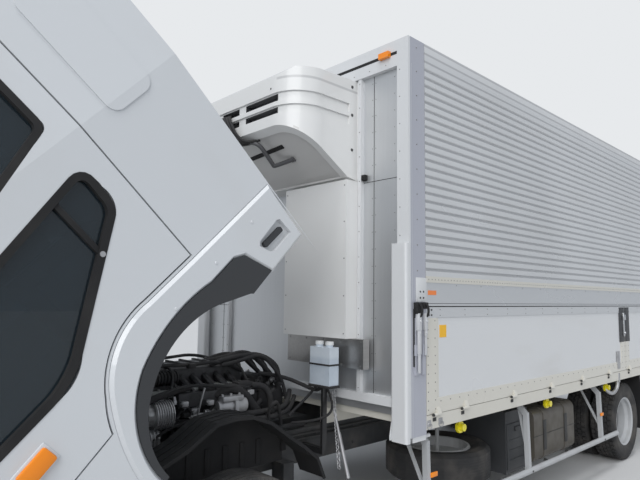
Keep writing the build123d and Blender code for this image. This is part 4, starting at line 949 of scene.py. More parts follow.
class TRUCK_OT_cab_trim(bpy.types.Operator):
    """Add wipers, lamps, grille mesh, mirror faces and rear trim to the cab"""

    bl_idname = "truck.cab_trim"
    bl_label = "Cab trim"

    def execute(self, context):
        with new_piece("wipers", "dark_plastic", "cab", tilted=True) as shape:
            for y in (-0.62, 0.10):
                add_drum(shape, (2.278, y, 1.690), (2.305, y, 1.690), 0.020, 0.016, 12)
                add_hose(shape, [(2.300, y, 1.690), (2.300, y + 0.20, 1.712), (2.292, y + 0.42, 1.745)], 0.007)
                add_hose(shape, [(2.297, y + 0.08, 1.735), (2.295, y + 0.40, 1.750), (2.290, y + 0.72, 1.765)], 0.006)

        with new_piece("grille_mesh", "dark_plastic", "cab", tilted=True) as shape:
            add_box(shape, (2.2835, -0.70, 0.965), (2.2865, 0.70, 1.455))
            for y in steps_between(-0.66, 0.66, 0.12):
                add_box(shape, (2.286, y - 0.004, 0.965), (2.291, y + 0.004, 1.455), 0.001)

        with new_piece("headlamp_lenses", "white_lens", "cab", tilted=True) as shape:
            for side in (1, -1):
                add_slab(shape, side, (2.292, 0.750, 0.772), (2.301, 0.880, 0.888), 0.006)
                add_drum(shape, (2.300, side * 0.815, 0.830), (2.306, side * 0.815, 0.830), 0.048, 0.044, 24)

        with new_piece("corner_lamps", "amber_plastic", "cab", tilted=True) as shape:
            for side in (1, -1):
                add_slab(shape, side, (2.262, 0.905, 0.775), (2.290, 0.990, 0.885), 0.006)

        with new_piece("mirror_faces", "mirror_face", "cab", tilted=True) as shape:
            for side in (1, -1):
                add_slab(shape, side, (2.188, 1.270, 1.980), (2.1945, 1.430, 2.185), 0.002)
                add_slab(shape, side, (2.188, 1.270, 1.835), (2.1945, 1.430, 1.965), 0.002)

        with new_piece("cab_rear_trim", "dark_plastic", "cab", tilted=True) as shape:
            for side in (1, -1):
                add_slab(shape, side, (0.196, 1.060, 1.835), (0.214, 1.108, 1.945), 0.005)
                add_drum(shape, (0.200, side * 1.084, 1.860), (0.180, side * 1.084, 1.860), 0.013, 0.011, 12)
            for y in (-0.86, 0.86):
                near, far = y - 0.035, y + 0.035
                add_box(shape, (0.190, near, 1.215), (0.2135, far, 1.290), 0.006)
            add_hose(
                shape, [(0.205, -0.40, 1.20), (0.185, -0.20, 1.26), (0.185, 0.20, 1.26), (0.205, 0.40, 1.20)], 0.011
            )

        with new_piece("cab_rear_pane", "clear_glass", "cab", tilted=True) as shape:
            add_box(shape, (0.2085, -0.360, 1.905), (0.2125, 0.360, 2.205), 0.001)

        with new_piece("cab_rear_seal", "seal", "cab", tilted=True) as shape:
            for low, high in (
                ((-0.395, 1.870), (0.395, 1.906)), ((-0.395, 2.204), (0.395, 2.240)),
                ((-0.395, 1.905), (-0.359, 2.205)), ((0.359, 1.905), (0.395, 2.205)),
            ):
                add_box(shape, (0.204, low[0], low[1]), (0.2135, high[0], high[1]), 0.003)

        with new_piece("fender_plugs", "cab_paint", "cab", tilted=True) as shape:
            for side in (1, -1):
                for x in steps_between(0.45, 1.05, 0.30):
                    add_drum(shape, (x, side * 1.1695, 1.150), (x, side * 1.1725, 1.150), 0.009, 0.007, 10)
        return {"FINISHED"}


class TRUCK_OT_rivets(bpy.types.Operator):
    """Set rivets and bolts on the load box"""

    bl_idname = "truck.rivets"
    bl_label = "Rivets and bolts"

    def execute(self, context):
        for name, side in SIDES:
            out = (0, side, 0)
            skin = side * BOX_SIDE
            strip = [(x, skin + side * 0.004, 1.896) for x in steps_between(-6.52, -0.21, 0.038)]
            bead = [(x, skin, 1.862) for x in steps_between(-6.50, -0.55, 0.34)]
            with new_piece(f"wing_rivets_{name}", "rivet", f"wing_{name}") as shape:
                add_rivets(shape, strip + bead, out, 0.005)
            bolts = [(x, skin + side * 0.003, z) for x in (-0.115, -0.150) for z in (1.772, 1.812)]
            with new_piece(f"wing_bolts_{name}", "dark_bolt", f"wing_{name}") as shape:
                add_rivets(shape, bolts, out, 0.008, 0.005, 6)

            with new_piece(f"corner_plate_{name}", "box_paint", f"wing_{name}") as shape:
                add_slab(shape, side, (-0.186, 1.2453, 1.745), (-0.070, 1.2483, 1.905), 0.001)
            # columns: gate, its rear X, its front X
            for gate, rear, front in (("front_gate", -3.925, -0.184), ("rear_gate", -6.545, -3.935)):
                spots = []
                for end in (rear + 0.018, rear + 0.098, front - 0.098, front - 0.018):
                    spots += [(end, skin, z) for z in steps_between(1.040, 1.620, 0.058)]
                spots += [(x, skin, 1.085) for x in steps_between(rear + 0.16, front - 0.16, 0.115)]
                spots += [(x, skin, z) for x in steps_between(rear + 0.16, front - 0.16, 0.30) for z in (1.655, 1.694)]
                with new_piece(f"{gate}_rivets_{name}", "rivet", f"{gate}_{name}") as shape:
                    add_rivets(shape, spots, out, 0.0055)
                ends = (rear + 0.03, rear + 0.06, front - 0.06, front - 0.03)
                dark = [(end, skin, z) for end in ends for z in (1.658, 1.692)]
                with new_piece(f"{gate}_bolts_{name}", "dark_bolt", f"{gate}_{name}") as shape:
                    add_rivets(shape, dark, out, 0.008, 0.005, 6)
            post = [(-0.090, skin, z) for z in steps_between(1.95, 3.48, 0.17)]
            with new_piece(f"post_rivets_{name}", "rivet", "chassis") as shape:
                add_rivets(shape, post, out, 0.006, 0.003, 8)
        edges = [(0.0, y, 3.385) for y in steps_between(-1.05, 1.05, 0.15)]
        # columns: Y of the row, its X, its lowest Z
        for y, x, low in ((-1.172, 0.0, 2.18), (-0.801, -0.005, 1.15), (0.801, -0.005, 1.15), (1.172, 0.0, 2.18)):
            edges += [(x, y, z) for z in steps_between(low, 3.32, 0.18)]
        with new_piece("front_rivets", "rivet", "chassis") as shape:
            add_rivets(shape, edges, AHEAD)
        rows = (-1.10, -0.93, -0.90, 0.90, 0.93, 1.10)
        panel = [(-0.035, y, z) for y in rows for z in steps_between(1.15, 3.30, 0.12)]
        with new_piece("panel_rivets", "bolt", "chassis") as shape:
            add_rivets(shape, panel, AHEAD, 0.004)
        return {"FINISHED"}


class TRUCK_OT_box_fittings(bpy.types.Operator):
    """Add labels, gate locks, gate stops, tie rings and the post's hooks"""

    bl_idname = "truck.box_fittings"
    bl_label = "Fittings of the load box"

    def execute(self, context):
        for name, side in SIDES:
            with new_piece(f"orange_label_{name}", "orange_label", f"wing_{name}") as shape:
                add_slab(shape, side, (-0.300, 1.2445, 1.792), (-0.205, 1.2462, 1.822))
            with new_piece(f"yellow_label_{name}", "yellow_label", f"front_gate_{name}") as shape:
                add_slab(shape, side, (-0.424, 1.2385, 1.505), (-0.342, 1.2402, 1.589))
            with new_piece(f"lock_plate_front_{name}", "dark_plastic", f"front_gate_{name}") as shape:
                add_slab(shape, side, (-3.9245, 1.240, 1.320), (-3.775, 1.2475, 1.700), 0.002)
            with new_piece(f"lock_plate_rear_{name}", "dark_plastic", f"rear_gate_{name}") as shape:
                add_slab(shape, side, (-4.085, 1.240, 1.320), (-3.9355, 1.2475, 1.700), 0.002)

            with new_piece(f"lock_handle_{name}", "lock_silver", f"front_gate_{name}") as shape:
                add_slab(shape, side, (-3.900, 1.2465, 1.380), (-3.865, 1.262, 1.640), 0.003)
                add_slab(shape, side, (-3.920, 1.255, 1.560), (-3.845, 1.270, 1.620), 0.004)
                add_drum(shape, (-3.8825, side * 1.246, 1.420), (-3.8825, side * 1.272, 1.420), 0.018, 0.014, 12)

            with new_piece(f"gate_stop_plate_{name}", "bright_metal", f"front_gate_{name}") as shape:
                add_slab(shape, side, (-3.735, 1.2445, 1.040), (-3.660, 1.2515, 1.225), 0.003)
                add_slab(shape, side, (-3.727, 1.251, 1.060), (-3.668, 1.2545, 1.110), 0.002)
                for z in (1.150, 1.195):
                    add_drum(shape, (-3.6975, side * 1.251, z), (-3.6975, side * 1.2555, z), 0.010, 0.008, 6)

            with new_piece(f"gate_stop_tube_{name}", "bright_metal", "chassis") as shape:
                add_slab(shape, side, (-3.718, 1.2420, 0.895), (-3.674, 1.2505, 0.992), 0.003)
                add_hose(
                    shape,
                    [
                        (-3.696, side * 1.228, 0.940), (-3.696, side * 1.229, 0.900), (-3.690, side * 1.224, 0.835),
                        (-3.620, side * 1.205, 0.775), (-3.560, side * 1.170, 0.795), (-3.540, side * 1.130, 0.860),
                    ],
                    0.020, 4,
                )

            with new_piece(f"hinge_pins_{name}", "dark_bolt", "chassis") as shape:
                for x in (-0.286, -0.626, -1.336, -2.022, -2.702, -3.407, -4.019, -4.700, -5.380, -6.060, -6.400):
                    add_drum(
                        shape, (x + 0.041, side * 1.257, 1.006), (x + 0.050, side * 1.257, 1.006), 0.011, 0.009, 10
                    )
                    add_slab(shape, side, (x + 0.002, 1.2448, 0.962), (x + 0.039, 1.2500, 0.986), 0.002)
                    add_drum(shape, (x + 0.020, side * 1.249, 0.974), (x + 0.020, side * 1.256, 0.974), 0.008, 0.006, 6)

            with new_piece(f"tie_rings_{name}", "bright_metal", "chassis") as shape:
                for x in (-0.205, -0.335):
                    add_slab(shape, side, (x - 0.022, 1.243, 0.935), (x + 0.022, 1.249, 0.975), 0.002)
                    add_turned(
                        shape,
                        round_bar(0.019, 0.0035, (0, 1.26, 2.51, 3.77, 5.03)),
                        (x, side * 1.252, 0.938),
                        (0.35, side * 0.94, 0.0),
                        14,
                    )

            with new_piece(f"post_hooks_{name}", "seal", "chassis") as shape:
                # columns: rear X, front X, bottom Z, top Z, how far it stands out
                for rear, front, low, high, out in (
                    (-0.096, -0.046, 1.668, 1.742, 0.030),
                    (-0.170, -0.122, 1.700, 1.742, 0.030),
                    (-0.060, -0.040, 1.330, 1.700, 0.006),
                    (-0.104, -0.094, 1.400, 1.700, 0.006),
                ):
                    add_slab(shape, side, (rear, 1.2445, low), (front, 1.2455 + out, high), 0.003)
                for x in (-0.072, -0.142):
                    add_hose(
                        shape,
                        [
                            (x, side * 1.268, 1.735), (x + 0.004, side * 1.296, 1.728),
                            (x - 0.004, side * 1.292, 1.650), (x, side * 1.268, 1.648),
                        ],
                        0.008,
                    )

            with new_piece(f"post_levers_{name}", "lever_white", "chassis") as shape:
                # columns: X of the lever, its half width, bottom Z
                for x, half, low in ((-0.072, 0.019, 1.290), (-0.142, 0.013, 1.400)):
                    add_slab(shape, side, (x - half, 1.256, 1.560), (x + half, 1.282, 1.672), 0.006)
                    add_slab(shape, side, (x - half * 0.8, 1.264, low + 0.12), (x + half * 0.8, 1.280, 1.565), 0.005)
                    add_slab(shape, side, (x - half * 0.6, 1.266, low), (x + half * 0.6, 1.277, low + 0.14), 0.004)
                    add_drum(shape, (x, side * 1.280, 1.620), (x, side * 1.288, 1.620), 0.010, 0.008, 12)
                    add_drum(shape, (x, side * 1.276, 1.545), (x, side * 1.284, 1.545), 0.007, 0.006, 8)

        with new_piece("wall_seams", "seal", "chassis") as shape:
            add_box(shape, (-0.0358, -1.145, 1.686), (-0.0338, -0.820, 1.690))
            for near, far in ((-1.145, -0.820), (0.820, 1.145)):
                add_box(shape, (-0.0358, near, 2.5835), (-0.0338, far, 2.5875))
            add_box(shape, (-0.0345, 0.818, 2.600), (-0.005, 0.855, 2.640), 0.002)
            add_box(shape, (0.0, -1.148, 3.4385), (0.0012, 1.148, 3.4605), 0.0004)
            for y in (-0.915, 0.915):
                add_box(shape, (-0.0358, y - 0.002, 1.125), (-0.0338, y + 0.002, 3.352))
        return {"FINISHED"}


class TRUCK_OT_unit_fittings(bpy.types.Operator):
    """Add the cold unit's hoses, drain pipe, bolts and vents"""

    bl_idname = "truck.unit_fittings"
    bl_label = "Fittings of the cold unit"

    def execute(self, context):
        with new_piece("unit_hoses", "hose", "chassis") as shape:
            for shift, radius in ((0.0, 0.017), (0.034, 0.013), (-0.034, 0.015), (0.064, 0.010), (-0.066, 0.012)):
                add_hose(
                    shape,
                    [
                        (0.572, shift - 0.06, 3.120), (0.612, shift - 0.03, 3.105), (0.618, shift + 0.03, 3.020),
                        (0.612, shift + 0.09, 2.930), (0.575, shift + 0.17, 2.870), (0.500, shift + 0.22, 2.900),
                    ],
                    radius,
                )

        with new_piece("unit_drain", "grey_pipe", "chassis") as shape:
            add_hose(
                shape,
                [
                    (0.560, 0.14, 2.900), (0.540, 0.21, 2.892), (0.511, 0.289, 2.864), (0.425, 0.271, 2.802),
                    (0.350, 0.256, 2.744), (0.344, 0.252, 2.740), (0.340, 0.262, 2.739), (0.322, 0.345, 2.752),
                    (0.305, 0.426, 2.766),
                ],
                0.016, 4,
            )
            add_drum(shape, (0.306, 0.420, 2.765), (0.302, 0.442, 2.769), 0.020)

        with new_piece("unit_slot", "seal", "chassis") as shape:
            outline = ((0.399, 0.030, 2.8335), (0.426, 0.441, 2.8500), (0.400, 0.441, 2.8340), (0.373, 0.030, 2.8175))
            corners = [shape.verts.new(place(*spot)) for spot in outline]
            thicken(shape, [shape.faces.new(corners)], (0, 0, -0.006))

        with new_piece("unit_bolts", "dark_bolt", "chassis") as shape:
            for side in (1, -1):
                spots = [(0.037, side * 0.765, z) for z in (2.827, 3.085, 3.296)]
                add_rivets(shape, spots, (0, side, 0), 0.013, 0.006, 12)
            add_rivets(shape, [(0.5805, y, 3.205) for y in (-0.50, 0.50)], AHEAD, 0.008, 0.003, 8)

        with new_piece("unit_flange", "pale_plastic", "chassis") as shape:
            for side in (1, -1):
                add_slab(shape, side, (-0.034, 0.760, 2.610), (-0.020, 0.786, 3.350), 0.002)

        with new_piece("cover_screws", "bolt", "chassis") as shape:
            spots = [(0.107, y, z) for y in (0.140, 0.763) for z in steps_between(1.52, 2.56, 0.26)]
            spots += [(0.060, y, z) for y in steps_between(0.15, 0.88, 0.18) for z in (1.305, 1.465)]
            add_rivets(shape, spots, AHEAD, 0.006, 0.003, 8)
        return {"FINISHED"}


class TRUCK_OT_engine_bay(bpy.types.Operator):
    """Run the hoses and pipes round the engine and set its small parts"""

    bl_idname = "truck.engine_bay"
    bl_label = "Engine bay"

    # columns: radius, steps round a quarter, points
    main_hoses = (
        (0.026, 4, (1.645, 0.18, 1.10), (1.60, 0.18, 1.13), (1.52, 0.16, 1.19), (1.44, 0.15, 1.19)),
        (0.028, 4, (1.645, -0.20, 0.74), (1.58, -0.20, 0.74), (1.55, -0.06, 0.74), (1.49, 0.0, 0.72)),
        (0.030, 4, (0.86, 0.352, 1.13), (0.80, 0.37, 1.19), (0.66, 0.385, 1.14), (0.55, 0.38, 1.00),
         (0.46, 0.36, 0.93)),
        (0.020, 3, (1.36, 0.30, 0.98), (1.42, 0.36, 1.06), (1.36, 0.39, 1.15), (1.18, 0.37, 1.19), (1.02, 0.30, 1.19)),
        (0.050, 5, (0.72, -0.95, 1.10), (0.62, -0.92, 1.09), (0.56, -0.78, 1.05), (0.58, -0.58, 1.03),
         (0.70, -0.42, 1.01)),
        (0.045, 5, (1.10, -0.95, 1.10), (1.22, -0.95, 1.09), (1.28, -0.80, 1.11), (1.30, -0.55, 1.09),
         (1.28, -0.33, 1.06)),
    )
    rear_hoses = (
        (0.018, 4, (0.88, 0.385, 1.02), (0.66, 0.42, 1.00), (0.42, 0.40, 0.995), (0.26, 0.37, 1.00),
         (0.19, 0.30, 1.09)),
        (0.016, 4, (0.80, 0.400, 0.985), (0.60, 0.43, 0.960), (0.40, 0.42, 0.955), (0.24, 0.38, 0.975),
         (0.16, 0.32, 1.05)),
        (0.022, 4, (0.56, 0.34, 1.165), (0.50, 0.38, 1.17), (0.45, 0.40, 1.10), (0.44, 0.40, 0.99), (0.40, 0.38, 0.94)),
        (0.014, 3, (0.40, 0.20, 1.22), (0.26, 0.30, 1.20), (0.12, 0.42, 1.12), (0.10, 0.52, 1.10), (0.13, 0.58, 1.15)),
    )
    looms = (
        (0.012, 2, (0.52, 0.16, 1.24), (0.70, 0.20, 1.33), (0.95, 0.17, 1.31), (1.20, 0.19, 1.33), (1.42, 0.12, 1.27)),
        (0.011, 2, (0.50, -0.10, 1.27), (0.68, -0.16, 1.35), (0.98, -0.13, 1.33), (1.25, -0.17, 1.32),
         (1.46, -0.10, 1.18)),
        (0.010, 2, (0.60, 0.37, 1.16), (0.85, 0.42, 1.20), (1.10, 0.37, 1.22), (1.32, 0.40, 1.16), (1.46, 0.30, 1.06)),
        (0.009, 2, (0.58, 0.36, 1.10), (0.82, 0.41, 1.06), (1.08, 0.38, 1.00), (1.26, 0.42, 0.98), (1.40, 0.38, 0.86)),
        (0.008, 2, (1.10, 0.12, 1.30), (1.12, 0.24, 1.32), (1.14, 0.33, 1.24), (1.20, 0.36, 1.14)),
        (0.009, 2, (0.66, 0.05, 1.32), (0.64, 0.20, 1.35), (0.60, 0.30, 1.26), (0.56, 0.33, 1.12)),
        (0.011, 2, (1.46, 0.22, 1.10), (1.54, 0.30, 1.06), (1.62, 0.38, 0.98), (1.66, 0.40, 0.88)),
        (0.012, 2, (0.45, 0.40, 0.90), (0.52, 0.46, 1.00), (0.48, 0.50, 1.08), (0.40, 0.44, 1.02), (0.34, 0.40, 0.86)),
        (0.018, 2, (0.14, 0.40, 0.86), (0.40, 0.41, 0.875), (0.80, 0.40, 0.865), (1.30, 0.41, 0.875),
         (1.72, 0.40, 0.86)),
        (0.012, 2, (0.90, -0.30, 1.12), (1.05, -0.38, 1.14), (1.25, -0.34, 1.12), (1.44, -0.28, 1.02)),
        (0.010, 2, (1.42, -0.22, 1.16), (1.50, -0.10, 1.20), (1.50, 0.12, 1.22), (1.44, 0.26, 1.16)),
    )

    def add_fitting(self, shape, draw, number):
        """One small block, union or bent pipe at a drawn place, on the engine's open side or behind it."""
        if number % 2:
            spot = Vector((draw.uniform(0.52, 1.44), draw.uniform(0.315, 0.372), draw.uniform(0.90, 1.12)))
        else:
            spot = Vector((draw.uniform(0.28, 0.52), draw.uniform(-0.05, 0.34), draw.uniform(0.92, 1.18)))
        size = draw.uniform(0.009, 0.022)
        way = Vector((draw.uniform(-1, 1), draw.uniform(-0.3, 0.6), draw.uniform(-0.6, 1))).normalized()
        if number % 3 == 0:
            high = spot + Vector((size * 1.5, size, size * 0.8))
            add_box(shape, spot - Vector((size, size, size * 0.6)), high, size * 0.3)
        elif number % 3 == 1:
            add_drum(shape, spot, spot + way * size * 3.0, size * 0.75, size * 0.6, 10)
            add_drum(shape, spot + way * size * 0.6, spot + way * size * 1.4, size * 0.95, sides=6)
        else:
            bend = spot + way * 0.03 + Vector((0, 0, 0.03))
            ends = (bend + Vector((0.05, -0.01, -0.06)), spot + Vector((0.11, -0.03, -0.10)))
            add_hose(shape, [spot, bend, *ends], size * 0.4)

    def execute(self, context):
        with new_piece("engine_hoses", "hose", "chassis") as shape:
            add_hoses(shape, self.main_hoses)

            # heap of hoses over the rear of the engine
            for turn in range(7):
                sway = 0.045 * math.sin(turn * 2.1)
                lift = 0.018 * math.cos(turn * 1.7)
                y = 0.03 + turn * 0.045
                add_hose(
                    shape,
                    [
                        (0.74 + sway, y - 0.06, 1.300), (0.62, y + sway, 1.345 + lift), (0.48, y + 0.02, 1.360 - lift),
                        (0.36 + sway, y - sway, 1.300 + lift), (0.28, y + 0.03, 1.180), (0.24 - sway, y + 0.02, 1.040),
                    ],
                    0.013 + 0.004 * (turn % 3), 3,
                )
            add_box(shape, (0.240, -0.110, 0.960), (0.465, 0.300, 1.125), 0.030)
            add_box(shape, (0.300, -0.060, 1.110), (0.440, 0.180, 1.200), 0.020)
            # hoses back from the alloy unit, and the wide one across them
            add_hoses(shape, self.rear_hoses)

        with new_piece("alloy_unit", "bright_metal", "chassis") as shape:
            add_turned(
                shape,
                ((0.0005, 0.0), (0.048, 0.0), (0.052, 0.012), (0.052, 0.085), (0.058, 0.090), (0.058, 0.104),
                 (0.050, 0.108), (0.050, 0.175), (0.042, 0.190), (0.042, 0.215), (0.0005, 0.215)),
                (0.655, 0.385, 1.060),
                AHEAD, 28,
            )
            add_box(shape, (0.690, 0.335, 1.095), (0.850, 0.435, 1.130), 0.008)
            add_box(shape, (0.735, 0.425, 1.020), (0.765, 0.450, 1.100), 0.006)
            for x in (0.705, 0.770, 0.835):
                add_drum(shape, (x, 0.400, 1.128), (x, 0.400, 1.142), 0.011, 0.009, 6)
            for x, y, z in ((0.92, 0.385, 1.10), (1.02, 0.375, 1.06), (1.10, 0.385, 1.11), (0.60, 0.375, 1.13)):
                add_box(shape, (x - 0.022, y - 0.020, z - 0.016), (x + 0.022, y + 0.020, z + 0.016), 0.005)
                add_drum(shape, (x, y, z), (x + 0.030, y + 0.028, z + 0.012), 0.009, 0.007, 8)
            add_hose(shape, [(1.05, 0.36, 1.02), (0.98, 0.40, 1.05), (0.92, 0.40, 1.00), (0.88, 0.39, 1.03)], 0.009)

        with new_piece("head_plate", "head_grey", "chassis") as shape:
            add_box(shape, (0.560, 0.155, 1.170), (1.380, 0.300, 1.186), 0.006)
            add_box(shape, (0.600, 0.290, 1.140), (1.340, 0.312, 1.180), 0.008)
            for x in steps_between(0.62, 1.32, 0.10):
                add_drum(shape, (x, 0.285, 1.184), (x, 0.285, 1.196), 0.011, 0.009, 6)

        with new_piece("engine_bellows", "hose", "chassis") as shape:
            # columns: folds, their pitch, outer and inner radius, places in a fold, bore, length, centre, steps
            for folds, pitch, outer, inner, marks, bore, length, centre, steps in (
                (13, 0.030, 0.060, 0.050, (0.010, 0.015, 0.025), 0.040, 0.385, (0.715, -0.95, 1.10), 24),
                (8, 0.022, 0.045, 0.037, (0.008, 0.011, 0.019), 0.030, 0.172, (1.06, 0.20, 1.245), 20),
            ):
                profile = []
                for x in [fold * pitch for fold in range(folds)]:
                    profile += [(outer, x), (outer, x + marks[0]), (inner, x + marks[1]), (inner, x + marks[2])]
                profile += [(bore, length), (bore, 0.0)]
                add_turned(shape, profile, centre, AHEAD, steps)

        with new_piece("engine_harness", "hose", "chassis") as shape:
            add_hoses(shape, self.looms)
            for x in (0.62, 0.92, 1.22):
                add_box(shape, (x, 0.165, 1.292), (x + 0.05, 0.215, 1.325), 0.006)
            add_box(shape, (0.58, 0.30, 1.168), (0.70, 0.38, 1.200), 0.008)
            add_box(shape, (0.86, 0.305, 1.168), (0.96, 0.365, 1.190), 0.006)

        with new_piece("engine_pipes", "bright_metal", "chassis") as shape:
            add_hose(
                shape,
                [
                    (1.455, 0.27, 1.035), (1.49, 0.18, 1.045), (1.50, 0.0, 1.045), (1.49, -0.16, 1.045),
                    (1.46, -0.28, 1.02),
                ],
                0.020, 4,
            )
            for y in (0.16, 0.02, -0.12):
                add_ring(shape, 0.018, 0.026, -0.010, 0.010, (1.497, y, 1.045), ACROSS, 20)
            add_hose(shape, [(1.00, 0.34, 0.92), (1.01, 0.39, 1.00), (1.00, 0.41, 1.12), (0.98, 0.42, 1.20)], 0.006)
            for x in steps_between(0.56, 1.36, 0.16):
                for y in (-0.135, 0.135):
                    add_drum(shape, (x, y, 1.262), (x, y, 1.284), 0.010, 0.008, 6)
            for turn in range(6):
                angle = turn * math.pi / 3
                y, z = 0.355 + 0.045 * math.sin(angle), 1.060 + 0.045 * math.cos(angle)
                add_drum(shape, (1.338, y, z), (1.350, y, z), 0.007, 0.006, 6)

        # small fittings, unions and clips along the open side of the engine and behind it
        for name, finish, seed, count in (
            ("engine_unions", "bright_metal", 5, 26),
            ("engine_clips", "head_grey", 11, 22),
            ("engine_blocks", "hose", 23, 110),
        ):
            with new_piece(name, finish, "chassis") as shape:
                draw = random.Random(seed)
                for number in range(count):
                    self.add_fitting(shape, draw, number)

        with new_piece("alternator_fins", "bright_metal", "chassis") as shape:
            for x in steps_between(1.185, 1.290, 0.015):
                add_ring(shape, 0.079, 0.0865, 0.0, 0.006, (x, 0.355, 1.060), AHEAD, 28)
            for x in steps_between(1.27, 1.40, 0.022):
                add_ring(shape, 0.068, 0.0755, 0.0, 0.007, (x, 0.340, 0.925), AHEAD, 28)

        with new_piece("engine_belt", "seal", "chassis") as shape:
            add_ring(shape, 0.060, 0.072, 0.0, 0.020, (1.482, 0.150, 1.010), AHEAD, 28)
            for start, end in (
                ((1.492, 0.090, 1.010), (1.492, -0.100, 0.730)),
                ((1.492, 0.215, 0.990), (1.492, 0.100, 0.700)),
            ):
                low, high = place(*start), place(*end)
                along = high - low
                turn = along.to_track_quat("Z", "X").to_matrix().to_4x4()
                stretch = Matrix.Diagonal((0.004, 0.022, along.length, 1.0))
                matrix = Matrix.Translation((low + high) / 2) @ turn @ stretch
                bmesh.ops.create_cube(shape, size=1.0, matrix=matrix)

        with new_piece("engine_fan", "dark_plastic", "chassis") as shape:
            add_drum(shape, (1.515, 0.0, 0.90), (1.552, 0.0, 0.90), 0.060, 0.055, 20)
            for blade in range(9):
                angle = blade * 2 * math.pi / 9
                matrix = (
                    Matrix.Translation(place(1.532, 0.0, 0.90))
                    @ Matrix.Rotation(angle, 4, "X")
                    @ Matrix.Translation((0, 0, 0.115))
                    @ Matrix.Rotation(math.radians(32), 4, "Z")
                    @ Matrix.Diagonal((0.004, 0.078, 0.140, 1.0))
                )
                bmesh.ops.create_cube(shape, size=1.0, matrix=matrix)
        return {"FINISHED"}


class TRUCK_OT_wall_foot(bpy.types.Operator):
    """Dress the front mudguards, the washer bottle and the foot of the front wall"""

    bl_idname = "truck.wall_foot"
    bl_label = "Mudguards, bottle and chain"

    def execute(self, context):
        with new_piece("mudguard_ribs", "seal", "chassis") as shape:
            line = (
                (1.523, 0.916), (1.358, 0.985), (1.181, 1.091), (1.060, 1.106), (0.938, 1.098), (0.805, 1.047),
                (0.663, 0.947), (0.539, 0.865),
            )
            for side in (1, -1):
                for across in (0.700, 0.760, 0.820):
                    for (x, z), (next_x, next_z) in zip(line, line[1:]):
                        along = Vector((next_x, 0, next_z)) - Vector((x, 0, z))
                        matrix = (
                            Matrix.Translation(place((x + next_x) / 2, side * across, (z + next_z) / 2))
                            @ along.to_track_quat("X", "Z").to_matrix().to_4x4()
                            @ Matrix.Diagonal((along.length + 0.004, 0.010, 0.008, 1.0))
                        )
                        bmesh.ops.create_cube(shape, size=1.0, matrix=matrix)

        # partly the mudguard's real inner wall with its ribs, partly a black sheet down to z 0.74 that stands in for
        # the shade inside the wheel arch
        with new_piece("mudguard_apron_with_shade_sheet", "seal", "chassis") as shape:
            outline = (
                (1.523, 0.908), (1.358, 0.977), (1.181, 1.083), (1.060, 1.098), (0.938, 1.090), (0.805, 1.039),
                (0.663, 0.939), (0.545, 0.862), (0.545, 0.740), (1.500, 0.740),
            )
            for side in (1, -1):
                sheet = shape.faces.new([shape.verts.new(place(x, side * 0.648, z)) for x, z in outline])
                thicken(shape, [sheet], (0, side * 0.006, 0))
                for x in (0.720, 0.840, 0.960, 1.080, 1.200, 1.320):
                    add_slab(shape, side, (x, 0.652, 0.755), (x + 0.035, 0.662, 0.900), 0.004)

        with new_piece("bottle_caps", "pale_plastic", "chassis") as shape:
            for y in (0.580, 0.680):
                add_drum(shape, (0.1565, y, 1.440), (0.1565, y, 1.462), 0.031, 0.029, 20)

        with new_piece("bottle_straps", "hose", "chassis") as shape:
            add_box(shape, (0.104, 0.522, 1.150), (0.209, 0.733, 1.168), 0.004)
            add_box(shape, (0.108, 0.526, 1.300), (0.205, 0.729, 1.312), 0.003)
            add_hose(shape, [(0.156, 0.560, 1.155), (0.15, 0.50, 1.10), (0.22, 0.46, 1.02), (0.32, 0.45, 0.95)], 0.010)
            add_hose(
                shape,
                [(0.150, 0.640, 1.155), (0.11, 0.66, 1.08), (0.14, 0.70, 0.98), (0.22, 0.60, 0.92), (0.30, 0.46, 0.90)],
                0.009,
            )

        with new_piece("wall_chain", "bright_metal", "chassis") as shape:
            top, step = Vector((0.050, 0.612, 1.140)), Vector((0.0, 0.0026, -0.0215))
            for link in range(26):
                spot = top + step * link
                axis = AHEAD if link % 2 else ACROSS
                add_turned(shape, round_bar(0.012, 0.0042, (0, 1.57, 3.14, 4.71)), spot, axis, 10)
            add_hose(
                shape, [(0.000, 0.605, 1.115), (0.035, 0.605, 1.150), (0.052, 0.610, 1.150), (0.050, 0.612, 1.135)],
                0.006,
            )
            add_hose(
                shape, [(-0.004, 0.592, 1.100), (0.030, 0.592, 1.110), (0.050, 0.596, 1.080), (0.050, 0.612, 1.020)],
                0.007,
            )
            add_drum(shape, (0.050, 0.604, 1.040), (0.050, 0.763, 0.560), 0.010, 0.010, 12)
            add_drum(shape, (0.050, 0.672, 0.835), (0.050, 0.766, 0.550), 0.014, 0.014, 12)
        return {"FINISHED"}


